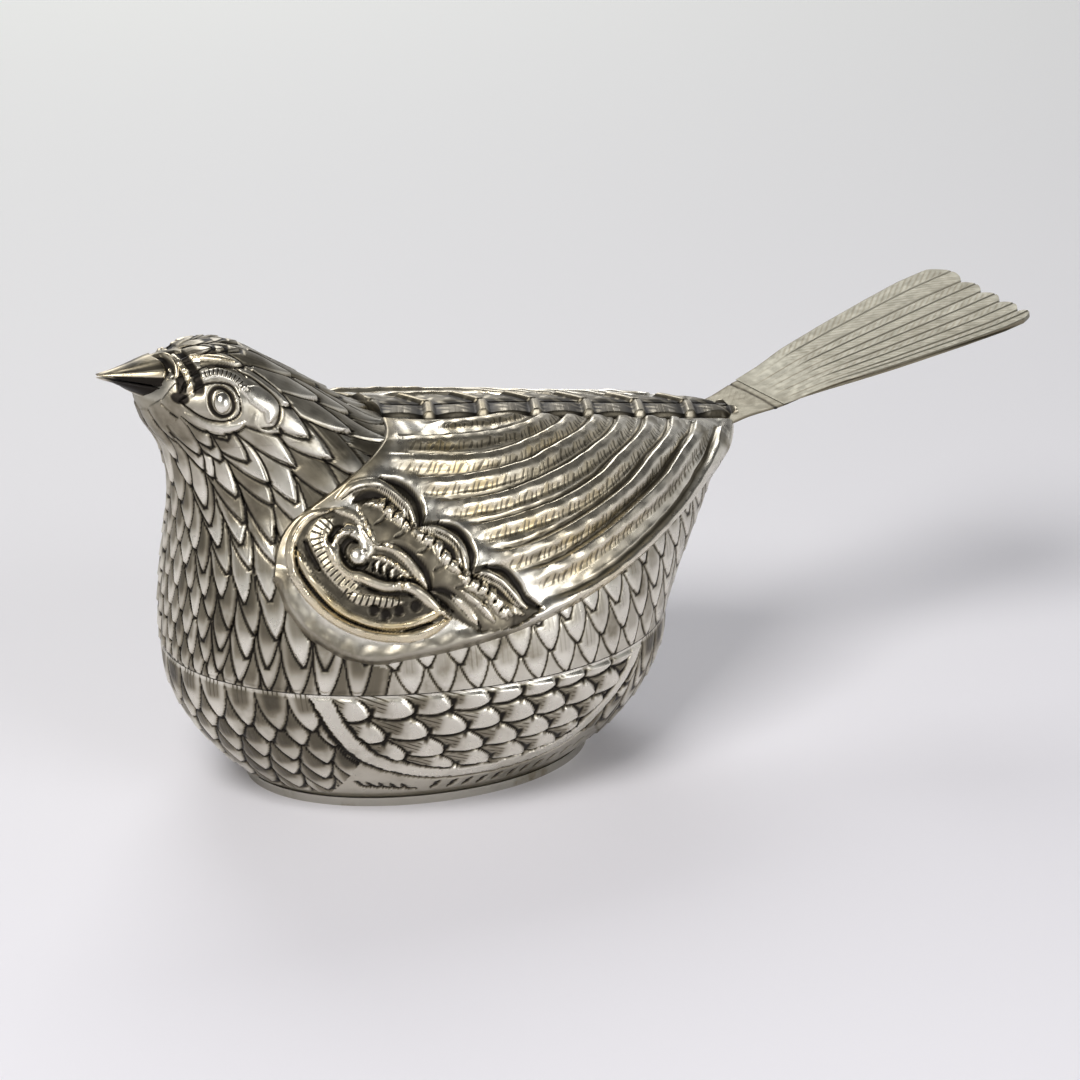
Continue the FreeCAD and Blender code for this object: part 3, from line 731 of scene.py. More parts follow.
class BIRD_OT_lid(Operator):
    """Lid and head with their feathers"""
    bl_idname = "object_factory.bird_lid"
    bl_label = "Lid and head"

    def execute(self, context):
        sizes = context.scene.bird_sizes
        low, middle, neck = ((z - SEAM) / (CROWN - SEAM) for z in (SEAM + 0.12, 34.0, 53.0))
        to_crown = 1 - (1 - np.linspace(0, 1, 138)) ** 2.2
        plan = (
            ("lid_band", np.linspace(low, middle, 70), sizes.lid_columns, ()),
            ("lid_upper", np.linspace(middle, neck, 108), 800, ("lid_shell",)),
            ("head", neck + (1 - neck) * to_crown, 600, ("head_shell",)),
        )
        grids = [round_grid(lid_points, columns, rises) for _, rises, columns, _ in plan]
        places, normals = (np.concatenate([part.reshape(-1, 3) for part in parts]) for parts in zip(*grids))
        field = Field(places, normals)
        chase_lid(field, sizes)
        raised = field.raised()
        first = 0
        for name, rises, columns, nodes in plan:
            head = name == "head"
            rows = len(rises)
            span = slice(first, first + rows * columns)
            first = span.stop
            inner_rises = np.linspace(1.0, neck, 16) if head else np.linspace(rises[-1], rises[0], 8)
            inner, _ = round_grid(lid_points, columns, inner_rises, SHEET)
            points = np.concatenate([raised[span].reshape(rows, columns, 3), inner])
            values = field.values((rows, columns), len(inner), INSIDE_PATINA, span)
            if head:
                # One run from the inner pole down to the neck and up outside to the crown's pole
                order = np.r_[rows:len(points), 0:rows, rows - 1]
                points = points[order]
                values = {key: value[order] for key, value in values.items()}
                for pole in (0, -1):
                    points[pole] = points[pole].mean(0)
            piece = sheet_piece(name, points, values, close_rows=not head, close_columns=True)
            finish_piece(piece, "lid", silver(context, "chased_silver"), "aged_silver", *nodes)
        return {"FINISHED"}


# In side view: outer line of the thigh panel, corners that close it above the rim, rest of the outline of
# the plain ground under it, and the row of dashes there
THIGH_LINE = (
    (-27.2, 20.2), (-24.4, 14.5), (-20.1, 9.8), (-14.6, 7.0), (-8.7, 5.5),
    (-0.1, 5.4), (6.9, 6.5), (11.6, 8.6), (15.8, 12.4), (19.4, 16.2), (21.8, 20.2),
)
PANEL_TOP = ((21.8, 30.0), (-27.2, 30.0))
PLAIN_END = ((14.8, 8.9), (17.4, 6.4), (19.0, 3.0), (19.6, -1.0), (-21.5, -1.0))
FOOT_DASHES = ((-9.5, 3.9), (-5.0, 3.6), (0.0, 3.6), (8.0, 4.3), (14.5, 6.0))
# Breadth of the panel's plain border, and rises at which the bowl's feather rows begin
BORDER = 2.6
BOWL_RISES = (0.02, 0.17, 0.335, 0.51, 0.69, 0.875, 1.0)


def bowl_half_breadth(x, z):
    return egg_half_breadth(x, *bowl_section((z - FOOT_TOP) / (SEAM - FOOT_TOP)))


def bowl_curve(field, points, side):
    """Curve in side view, laid on the bowl's points of one side."""
    hand = field.place[field.place[:, 1] * side > 0]
    return np.array([hand[((hand[:, ::2] - spot) ** 2).sum(1).argmin()] for spot in curve(points)])


def feather_bowl(field, sizes, rng):
    angles = np.linspace(math.pi, 2 * math.pi, 700)
    for row, rise in enumerate(BOWL_RISES):
        line = resample(bowl_points(angles, np.full_like(angles, rise)), 2.3)
        for point in line[row % 2::2]:
            for place in both_sides(point):
                field.leaf(place, (0.25 if point[0] < 0 else -0.1, 0, -1.0), 4.7, 5.6 + 0.4 * rng.random(),
                           tone=0.04 + 0.22 * rng.random(), line=sizes.line_breadth, cut=sizes.groove_depth,
                           **BOWL_FEATHER)


def chase_thigh(field, panel, side, rng):
    """Scale-like feathers of one thigh, inside a plain border between two grooves."""
    hand = panel & (field.place[:, 1] * side > 0)
    for row in range(5):
        for step in range(12, -1, -1):
            x = -30.0 + 4.9 * step + 2.0 * (row % 2)
            z = 6.6 + 3.55 * row + 0.05 * x
            root = np.array([x, side * bowl_half_breadth(x, min(z, 20.5)), z])
            field.leaf(root, (0.97, 0, -0.24), 4.1, 5.7 + 0.5 * rng.random(),
                       tone=-0.08 + 0.12 * rng.random(), within=hand, **THIGH_FEATHER)
    outer = bowl_curve(field, THIGH_LINE, side)
    near, _, _, distance, _ = field.along(outer, 3.0)
    field.flatten(near[(distance < BORDER) & panel[near]], 1.0, 0.26, 0.1)
    some = outer[::6]
    inward = unit((np.array([-2.0, 0, 20.0]) - some) * np.array([1, 0, 1]))
    inner = (some + BORDER * inward)[:, ::2]
    field.groove(bowl_curve(field, inner[inner[:, 1] < 20.4], side), 0.9, 0.3, taper=0.1)
    field.groove(outer, 1.2, 0.35, taper=0.1)


def chase_foot(field, side):
    """Dashes and short curls along the foot, under the thigh."""
    dashes = bowl_curve(field, FOOT_DASHES, side)
    count = int(len(dashes) * 0.25 / 2.1)
    for k in range(count):
        x, _, z = dashes[int((k + 0.5) * len(dashes) / count)]
        dash = ((x + 0.3, z + 0.9), (x, z), (x - 0.35, z - 0.9))
        field.groove(bowl_curve(field, dash, side), 1.15, 0.3)
    for k in range(5):
        x = -19.5 + 1.5 * k
        curl = ((x, 5.6 - 0.25 * k), (x + 1.1, 4.5 - 0.25 * k), (x + 2.6, 3.9 - 0.2 * k))
        field.groove(bowl_curve(field, curl, side), 0.9, 0.25)


def chase_bowl(field, sizes):
    rng = np.random.default_rng(11)
    field.patina[:] = 0.2
    feather_bowl(field, sizes, rng)
    x, z = field.place[:, 0], field.place[:, 2]
    panel = enclosed(x, z, np.vstack([curve(THIGH_LINE, 0.5), PANEL_TOP]))
    field.flatten(panel | enclosed(x, z, np.array(THIGH_LINE[2:8] + PLAIN_END)), 1.0, 0.05, 0.3)
    for side in SIDES:
        chase_thigh(field, panel, side, rng)
        chase_foot(field, side)
    field.flatten(ALL, 1 - smooth(2.0, 2.6, z), 0.0, 0.45)
    lip = smooth(19.9, 20.3, z)
    field.height *= 1 - lip
    field.patina *= 1 - 0.6 * lip


class BIRD_OT_bowl(Operator):
    """Bowl with its feathers and thighs"""
    bl_idname = "object_factory.bird_bowl"
    bl_label = "Bowl"

    def execute(self, context):
        sizes = context.scene.bird_sizes
        columns, rows = sizes.bowl_columns, 96
        field = Field(*round_grid(bowl_points, columns, np.linspace(0, 1, rows)))
        chase_bowl(field, sizes)
        inner, _ = round_grid(bowl_points, columns, np.linspace(1, 0, 7), SHEET)
        points = np.concatenate([field.raised().reshape(rows, columns, 3), inner])
        values = field.values((rows, columns), len(inner), INSIDE_PATINA)
        piece = sheet_piece("bowl", points, values, close_rows=True, close_columns=True)
        finish_piece(piece, "base", silver(context, "chased_silver"), "aged_silver", "base_bowl")
        return {"FINISHED"}


# Wing outline in side view: three points of each arc, the tip's reach and the gap to the back's middle
WING_ARCS = (
    ((-15.9, 25.4), (-29.5, 36.4), (-24.2, 44.8)),
    ((-24.2, 44.8), (-14.5, 50.0), (0.0, 54.0)),
    ((0.0, 54.0), (24.0, 50.6), (47.6, 42.2)),
    ((47.6, 42.2), (14.2, 30.8), (-15.9, 25.4)),
)
WING_TIP, WING_SPACING = 47.55, 5.2
FLUTES = (
    ((-4.0, 50.5), (1.6, 50.0), (7.4, 49.4), (13.5, 48.8)),
    ((-11.5, 50.8), (-4.7, 49.8), (2.0, 49.0), (8.8, 48.5), (17.2, 48.2)),
    ((-13.4, 49.6), (-7.7, 48.5), (-1.1, 47.5), (4.9, 47.2), (11.0, 47.4), (20.7, 47.6)),
    ((-11.1, 46.7), (-4.8, 45.8), (1.2, 45.6), (7.4, 45.7), (13.5, 46.3), (24.8, 46.9)),
    ((-8.2, 43.6), (-3.8, 43.2), (1.7, 43.2), (8.0, 43.8), (13.8, 44.5), (19.6, 45.3), (28.4, 46.2)),
    ((-5.3, 40.6), (-1.2, 40.4), (4.7, 40.8), (11.0, 41.5), (17.2, 42.7), (22.6, 44.1), (32.1, 45.4)),
    ((-3.5, 37.4), (1.5, 37.3), (8.0, 38.2), (15.5, 39.7), (22.1, 41.4), (28.0, 43.3), (35.5, 44.6)),
    ((0.7, 34.5), (6.2, 34.9), (13.3, 36.5), (20.7, 38.6), (27.4, 40.6), (33.1, 42.6), (38.4, 43.8)),
    ((4.0, 30.5), (10.5, 31.3), (19.1, 33.5), (29.0, 36.7), (36.1, 40.0), (41.2, 42.2)),
)
# Lines of the scroll in its round frame
FRAME_OUTER = ((-21.2, 44.4), (-24.1, 43.6), (-26.4, 41.1), (-27.3, 38.2), (-26.6, 35.2), (-24.6, 32.3),
               (-21.5, 30.0), (-17.4, 28.9), (-13.6, 29.0), (-9.6, 30.7))
FRAME_INNER = ((-26.4, 39.4), (-26.0, 37.5), (-24.6, 34.8), (-22.0, 31.9), (-17.3, 30.2), (-13.5, 30.7),
               (-10.4, 31.9))
UPPER_ARC = ((-21.2, 44.4), (-19.5, 43.8), (-18.4, 42.9), (-17.6, 40.6), (-17.3, 39.6))
FAN_RIM = ((-17.3, 39.6), (-15.4, 39.4), (-14.4, 38.7), (-13.4, 37.4), (-12.0, 34.5))
FAN_VEIN = ((-17.9, 38.6), (-16.4, 38.2), (-15.0, 37.2), (-13.9, 35.8))
LEAFLETS = ((-17.0, 38.4), (-16.2, 38.0), (-15.4, 37.4), (-14.7, 36.6), (-14.0, 35.8))
SCROLL = ((-19.2, 40.2), (-20.0, 40.6), (-21.0, 39.9), (-21.4, 38.9), (-21.1, 37.9), (-20.4, 37.4),
          (-19.2, 37.5), (-18.5, 38.0))
SCROLL_HEART = (-19.6, 38.8)
SCROLL_TURN = ((-20.9, 41.7), (-19.6, 41.6), (-18.6, 40.8), (-18.2, 39.6), (-18.5, 38.6))
HOOK = ((-20.4, 42.1), (-21.3, 41.9), (-22.0, 41.1), (-22.4, 40.2))
RIDGE_START = ((-19.6, 41.4), (-20.8, 41.2))
MAIN_RIDGE = ((-22.0, 40.4), (-22.0, 38.7), (-21.3, 37.4), (-20.3, 36.6), (-18.9, 35.8), (-17.2, 35.2),
              (-15.2, 35.1), (-13.7, 34.6), (-11.7, 32.7), (-9.9, 30.9))
HATCHED_BAND = ((-21.7, 43.0), (-22.9, 42.1), (-23.7, 41.1), (-23.7, 40.1), (-23.3, 38.7), (-22.2, 36.7),
                (-20.6, 34.8))
BAND_EDGE = ((-22.6, 42.0), (-22.9, 40.4), (-22.6, 38.6), (-21.6, 36.9), (-20.0, 35.4))
LOW_BAND = ((-21.6, 34.2), (-20.0, 33.7), (-18.0, 33.4), (-15.6, 33.2))
LOW_STROKES = ((-22.4, 34.6), (-20.6, 33.8), (-18.2, 33.4), (-15.2, 33.3))
FRONT_HOLLOW = ((-25.3, 40.6), (-25.0, 39.0), (-24.3, 37.2))
PUNCHES = ((-18.9, 32.4), (-17.6, 31.8), (-15.9, 32.2), (-13.8, 32.6))
# Each lobe of the leaf: its bright ridge, the dark crescent outside it and the leaf's own edge
LOBES = (
    (((-20.4, 45.7), (-18.6, 46.7), (-16.4, 47.0), (-14.5, 46.5), (-12.8, 44.9), (-11.8, 43.4),
      (-11.5, 41.5)),
     ((-14.3, 47.4), (-11.5, 46.2), (-10.1, 44.3), (-10.1, 42.7), (-10.8, 41.4)),
     ((-16.0, 44.4), (-14.7, 44.1), (-14.2, 43.0), (-13.4, 42.5), (-12.6, 41.2))),
    (((-10.9, 41.1), (-9.1, 40.8), (-7.4, 39.9), (-6.5, 38.6), (-6.4, 35.9)),
     ((-8.4, 41.6), (-6.2, 40.8), (-5.2, 39.5), (-5.0, 37.8), (-5.7, 36.0)),
     ((-12.0, 40.9), (-10.9, 39.9), (-9.6, 39.3), (-9.2, 38.0), (-7.6, 36.0))),
    (((-5.4, 35.5), (-3.6, 35.1), (-1.7, 33.7), (-0.3, 31.8), (0.8, 30.7)),
     ((-3.9, 36.3), (-1.2, 35.5), (0.2, 33.7), (1.0, 31.8), (3.0, 30.3)),
     ((-7.4, 35.5), (-5.9, 34.0), (-4.4, 33.4), (-3.5, 31.8), (-2.2, 29.9))),
)
LOW_CRESCENTS = (((-16.4, 39.9), (-13.6, 39.0), (-11.9, 36.9), (-11.5, 34.6)),
                 ((-11.9, 34.4), (-9.5, 33.9), (-7.7, 31.8), (-5.8, 29.1)))
LEAF_GROUND = ((-18.5, 46.2), (-14.3, 47.6), (-11.0, 46.2), (-9.7, 44.0), (-10.2, 41.9), (-8.0, 41.8),
               (-5.8, 40.8), (-4.7, 38.5), (-5.3, 36.4), (-3.5, 36.5), (-0.8, 35.4), (0.7, 33.0), (3.2, 30.2),
               (-1.0, 28.6), (-6.0, 28.6), (-9.6, 30.9), (-12.0, 34.5), (-13.4, 37.4), (-15.4, 39.6),
               (-17.3, 40.0), (-17.6, 42.0))
LEAF_SPINE = ((-17.0, 42.6), (-14.2, 40.9), (-11.4, 38.4), (-8.9, 35.4), (-6.2, 32.2), (-3.6, 30.0))
LEAF_VEINS = (((-16.6, 42.0), (-15.2, 42.6), (-14.4, 43.6)), ((-14.6, 40.4), (-13.2, 40.9), (-12.6, 41.9)),
              ((-12.4, 38.6), (-11.0, 38.9), (-10.2, 39.8)), ((-10.6, 36.6), (-9.2, 36.9), (-8.6, 37.8)),
              ((-8.6, 34.2), (-7.2, 34.4), (-6.4, 35.2)), ((-6.4, 31.8), (-5.0, 32.2), (-4.2, 33.2)))
LEAF_TAILS = (((-9.0, 33.4), (-7.4, 31.6), (-6.2, 29.6)), ((-7.6, 33.8), (-5.6, 32.0), (-4.0, 29.8)),
              ((-3.6, 33.0), (-1.8, 31.4), (0.2, 30.0)))


def arc(start, middle, end, count=160):
    """Points of the circle through three points, from the first to the last."""
    (ax, az), (bx, bz), (cx, cz) = start, middle, end
    d = 2 * (ax * (bz - cz) + bx * (cz - az) + cx * (az - bz))
    a2, b2, c2 = ax * ax + az * az, bx * bx + bz * bz, cx * cx + cz * cz
    ux = (a2 * (bz - cz) + b2 * (cz - az) + c2 * (az - bz)) / d
    uz = (a2 * (cx - bx) + b2 * (ax - cx) + c2 * (bx - ax)) / d
    turns = np.unwrap([math.atan2(z - uz, x - ux) for x, z in (start, middle, end)])
    if not min(turns[0], turns[2]) <= turns[1] <= max(turns[0], turns[2]):
        turns[2] += 2 * math.pi * (1 if turns[1] > turns[0] else -1)
    radius = math.hypot(ax - ux, az - uz)
    angle = np.linspace(turns[0], turns[2], count)
    return np.stack([ux + radius * np.cos(angle), uz + radius * np.sin(angle)], -1)


def wing_grid(columns, rows):
    """Points of the lid inside the wing's outline, and their normals, in columns from front to tip."""
    front, neck, rump, belly = (arc(*points) for points in WING_ARCS)
    foremost = front[:, 0].argmin()
    low = np.vstack([belly, front[:foremost + 1]])
    high = np.vstack([front[foremost:], neck, rump])
    low, high = (edge[np.argsort(edge[:, 0])] for edge in (low, high))
    # Columns stand closer together where the front rounds off
    share = np.linspace(0, 1, columns)
    share = np.where(share < 0.12, share ** 2 / 0.24, share - 0.06) / 0.94
    x = front[foremost, 0] + 0.02 + (WING_TIP - front[foremost, 0]) * share
    bottom = np.interp(x, low[:, 0], low[:, 1])
    top = np.interp(x, high[:, 0], high[:, 1])
    roof = roof_height(x, np.full_like(x, WING_SPACING))
    top = np.maximum(np.minimum(top, roof), bottom + 0.01)
    part = np.linspace(0, 1, 300)
    z = bottom[:, None] + (top - bottom)[:, None] * (1 - (1 - part[None]) ** 2)
    y = half_breadth(x[:, None] + 0 * z, z)
    run = np.cumsum(np.hypot(np.diff(y), np.diff(z)), axis=1)
    run = np.concatenate([np.zeros((columns, 1)), run], axis=1)
    marks = np.linspace(0, 1, rows)
    heights = np.stack([np.interp(marks * r[-1], r, h) for r, h in zip(run, z)], 1)
    reach = np.broadcast_to(x, heights.shape)
    return side_point(reach, heights), side_normal(reach, heights)


class WingField(Field):
    """Points of the left wing, with their distance from its edges and how high each may stand."""

    def __init__(self, points, normals):
        super().__init__(points, normals)
        self.low, self.top = self.gap_from(points[0]), self.gap_from(points[-1])
        self.level = 1.8 * np.hypot(self.normal[:, 0], self.normal[:, 1]) + 0.7 * np.abs(self.normal[:, 2])
        self.rim_rise = smooth(-0.2, 1.5, self.low)
        rim = 0.5 + 0.35 * smooth(3.2, 1.4, self.low)
        self.height = self.level * rim * self.rim_rise * smooth(-0.1, 0.5, self.top)
        front = (1 - smooth(2.0, 4.0, self.low)) * (1 - smooth(-10.0, 8.0, self.place[:, 0]))
        self.patina = 0.04 + 0.34 * front

    def gap_from(self, edge):
        gap = np.full(len(self.place), 9.0)
        near, _, _, distance, _ = self.along(resample(edge, 0.25), 6.0)
        gap[near] = distance
        return gap

    def ground(self, corners, patina, gilt):
        """The points inside an outline, toned and gilt all over."""
        hit = enclosed(self.place[:, 0], self.place[:, 2], np.array(corners))
        self.patina[hit] = patina
        self.gilt[hit] = gilt
        self.hatch[hit] = 0
        return hit

    def chase_flutes(self):
        """Flutes with a steep upper side, hatched troughs and gilding that fades towards the tip."""
        for order, points in enumerate(FLUTES):
            near, place, away, distance, total = self.along(flank_curve(points), 2.6)
            up = -away
            fade = smooth(0.0, 4.5, place) * (1 - 0.3 * smooth(total - 3.0, total, place))
            wobble = 0.18 * np.sin(place * 1.7 + order) + 0.12 * np.sin(place * 4.1 + 2 * order)
            hill = np.where(up < 0, smooth(-2.0, -0.35, up), 1 - smooth(0.3, 0.85, up))
            before = self.height[near]
            target = (0.42 + 0.55 * hill) * self.level[near] * self.rim_rise[near]
            trench = smooth(0.5, 0.75, up) * (1 - smooth(1.0, 1.35, up)) * fade
            self.height[near] = np.maximum(before, target) * fade + before * (1 - fade) - 0.3 * trench
            self.darken(near, 0.6 * trench)
            crest = smooth(-1.2 + wobble, -0.7 + wobble, up) * (1 - smooth(0.35, 0.6, up))
            self.patina[near] *= 1 - 0.8 * crest * fade
            trough = smooth(-2.3, -1.9, up) * (1 - smooth(-1.15 + wobble, -0.75 + wobble, up))
            trough = trough * fade * (distance < 2.5)
            at = trough > 0.08
            self.hatch[near[at]] = np.maximum(self.hatch[near[at]], 0.65 * trough[at])
            self.lay[near[at]] = (place / 0.95 - 0.55 * up + 0.2 * np.sin(place * 2.3 + order))[at]
            self.darken(near, 0.16 * trough)
            warm = 0.95 * fade * (1 - smooth(6.0, 38.0, self.place[near, 0]))
            self.gild(near, warm * (0.5 + 0.5 * trough))
            self.darken(near, 0.35 * smooth(total - 2.5, total - 0.3, place) * (distance < 1.2))

    def chase_leaf(self):
        """Dark ground of the leaf, its swollen spine, veins, lobes and trailing ends."""
        hit = self.ground(LEAF_GROUND, 0.78, 0.6)
        self.height[hit] = (np.minimum(self.height, 0.52 * self.level) * self.rim_rise)[hit]
        near, _, _, distance, _ = self.along(flank_curve(LEAF_SPINE), 2.6)
        swell = np.sqrt(np.maximum(1 - (distance / 2.6) ** 2, 0)) * hit[near]
        self.height[near] += 0.42 * swell
        self.patina[near] -= 0.25 * swell
        for points in LEAF_VEINS:
            self.groove(flank_curve(points), 0.6, 0.25, ink=0.8)
        for points in LOW_CRESCENTS:
            self.groove(flank_curve(points), 1.5, 0.4)
        for lobe in LOBES:
            self.chase_lobe(*lobe)
        for points in LEAF_TAILS:
            self.ridge(flank_curve(points), 0.9, 0.4, gilt=0.35)

    def chase_lobe(self, bright, dark, edge):
        """One lobe: its hollow, dark crescent, vein, toothed edge and bright ridge."""
        marks = np.linspace(0, 1, 40)
        pair = []
        for run in (curve(bright), curve(edge)):
            share = np.linspace(0, 1, len(run))
            pair.append(np.stack([np.interp(marks, share, run[:, k]) for k in (0, 1)], -1))

        def between(share):
            line = pair[0] * (1 - share) + pair[1] * share
            return side_point(line[:, 0], line[:, 1])

        self.groove(between(0.45), 2.2, 0.35, taper=0.3)
        self.groove(flank_curve(dark), 1.5, 0.45)
        self.ridge(between(0.75), 0.9, 0.35, gilt=0.3)
        self.ridge(flank_curve(edge), 1.3, 0.4, gilt=0.45)
        for order, (x, z) in enumerate(resample(curve(edge), 0.65)[1:-1]):
            tooth = flank_curve(((x - 0.3, z - 0.3), (x + 0.3, z + 0.35), (x + 0.95, z + 0.75)), step=0.15)
            if order % 2:
                self.groove(tooth, 0.5, 0.3)
            else:
                self.ridge(tooth, 0.9, 0.35, gilt=0.3)
        self.ridge(flank_curve(bright), 1.5, 0.55, gilt=0.25)
        self.groove(between(0.12), 0.4, 0.15, taper=0.3)

    def chase_scroll(self):
        """Round frame at the wing's front, with its bands, leaflets and punches, and the scroll in it."""
        rim = np.vstack([curve(FRAME_OUTER, 0.5), curve(FAN_RIM, 0.5)[::-1], curve(UPPER_ARC, 0.5)[::-1]])
        disc = self.ground(rim, 0.74, 0.5)
        self.height[disc] = (0.58 * self.level * self.rim_rise)[disc]
        self.ridge(flank_curve(HATCHED_BAND), 2.6, 0.35, gilt=0.5, taper=0.1)
        self.strokes(flank_curve(HATCHED_BAND), 1.3, 0.7, tone=0.2)
        self.ridge(flank_curve(LOW_BAND), 1.5, 0.3, gilt=0.5)
        self.strokes(flank_curve(LOW_STROKES), 0.9, 0.8, slant=0.3, tone=0.2)
        for x, z in LEAFLETS:
            leaflet = ((x, z), (x - 0.9, z - 0.5), (x - 1.2, z - 1.5))
            self.ridge(flank_curve(moved(leaflet, 0.4, 0.1)), 0.7, 0.35, gilt=0.2)
            self.groove(flank_curve(leaflet), 0.5, 0.3)
        self.ridge(flank_curve(FAN_VEIN), 0.7, 0.3, gilt=0.6)
        self.ridge(flank_curve(BAND_EDGE), 0.7, 0.3, gilt=0.6)
        self.groove(flank_curve(FRONT_HOLLOW), 1.2, 0.4)
        for spot in PUNCHES:
            dent = 1 - smooth(0.5, 0.9, np.linalg.norm(self.place - side_point(*spot), axis=1))
            self.height -= 0.35 * dent
            self.darken(ALL, 0.98 * dent)
        self.groove(flank_curve((np.array(FRAME_OUTER[2:9]) + FRAME_INNER) / 2), 0.8, 0.4, taper=0.1)
        self.ridge(flank_curve(FRAME_INNER), 1.2, 0.45, gilt=0.95, taper=0.1)
        self.groove(flank_curve(moved(MAIN_RIDGE[2:8], 0.2, -1.0)), 0.7, 0.3)
        self.ridge(flank_curve(RIDGE_START + MAIN_RIDGE, step=0.15), 1.5, 0.65, gilt=0.45)
        self.groove(flank_curve(moved(MAIN_RIDGE[3:], 0.75, 0.6)), 0.7, 0.35)
        self.ridge(flank_curve(SCROLL_TURN, step=0.15), 1.7, 0.5, gilt=0.15, taper=0.15)
        self.boss(side_point(*SCROLL_HEART), 1.1, 0.5, ring=0.01)
        self.groove(flank_curve(SCROLL, step=0.12), 1.15, 0.5)
        self.groove(flank_curve(HOOK, step=0.12), 1.1, 0.45)
        self.ridge(flank_curve(UPPER_ARC, step=0.15), 1.3, 0.5, gilt=0.5)
        self.ridge(flank_curve(FAN_RIM, step=0.15), 1.2, 0.5, gilt=0.5)
        self.ridge(flank_curve(FRAME_OUTER), 1.3, 0.5, gilt=0.7, taper=0.1)

    def finish_edges(self):
        """Unevenness of hand-raised sheet, the gilt and toned front of the top edge, and painted shade in the
        creases along the lower edge and the front of the top edge.
        """
        x, z = self.place[:, 0], self.place[:, 2]
        uneven = np.sin(1.3 * x + 0.7 * z) + np.sin(2.1 * x - 1.7 * z + 1) + np.sin(0.9 * x + 2.9 * z + 2)
        self.height += 0.035 * uneven * smooth(0.5, 2.0, self.low) * smooth(0.5, 2.0, self.top)
        self.height = np.minimum(self.height, self.level)
        front = (1 - smooth(0.6, 2.6, self.top)) * (1 - smooth(-8.0, 6.0, x))
        self.gild(ALL, 0.7 * front)
        self.darken(ALL, 0.3 * front)
        # Painted shade: thin dark bands where the wing's lower edge and the front of its top edge meet the
        # lid
        self.darken(ALL, 0.7 * (1 - smooth(0.0, 0.35, self.low)))
        self.darken(ALL, 0.7 * (1 - smooth(0.1, 0.9, self.top)) * (x < 2.0))


class BIRD_OT_wings(Operator):
    """Left wing with its chasing, and the right wing as its mirror"""
    bl_idname = "object_factory.bird_wings"
    bl_label = "Wings"

    def execute(self, context):
        columns, rows = 400, 170
        points, normals = wing_grid(columns, rows)
        field = WingField(points, normals)
        field.chase_flutes()
        field.chase_leaf()
        field.chase_scroll()
        field.finish_edges()
        raised = field.raised().reshape(rows, columns, 3)
        for edge in (0, -1):
            raised[edge] = points[edge] - 0.1 * normals[edge]
        # The back of the plate lies just under the lid's skin
        back = (points - 0.35 * normals)[[-1, rows * 2 // 3, rows // 3, 0]]
        loop = np.concatenate([raised, back])
        for end in (0, -1):
            loop[:, end] = loop[:, end].mean(0)
        values = field.values((rows, columns), len(back))
        for name, side in (("left_wing", 1), ("right_wing", -1)):
            piece = sheet_piece(name + "_chased", loop * np.array([1, side, 1]), values, close_rows=True)
            finish_piece(piece, "lid", silver(context, "chased_silver"), "gilt_silver", name)
        return {"FINISHED"}


# Strap: reach of both ends, half breadth and how much of it goes at the rump, reach of the rump's edge,
# distance from bar to bar
STRAP_FRONT, STRAP_END = -8.6, 49.4
STRAP_HALF, STRAP_NARROWING = 5.1, 2.2
RUMP_EDGE = 48.0
BAR_PITCH = 8.3
# Tongue in the tail's own plane: both ends, half breadth, place of the lap line
TONGUE_START, TONGUE_END = -3.0, 11.4
TONGUE_HALF, TONGUE_LAP = 6.8, 4.4
# Tail: tilt in degrees, height of its root, start and length of the sheet in its own plane
TAIL_TILT, TAIL_HEIGHT = 14, 43.65
TAIL_START, TAIL_LENGTH = 5.4, 41.6


def in_tail_frame(points):
    """Carries points from the tail's own plane to its tilted place."""
    along, across, up = np.moveaxis(points, -1, 0)
    sin, cos = math.sin(math.radians(TAIL_TILT)), math.cos(math.radians(TAIL_TILT))
    return np.stack([TAIL_ROOT + along * cos - up * sin, across, TAIL_HEIGHT + along * sin + up * cos], -1)


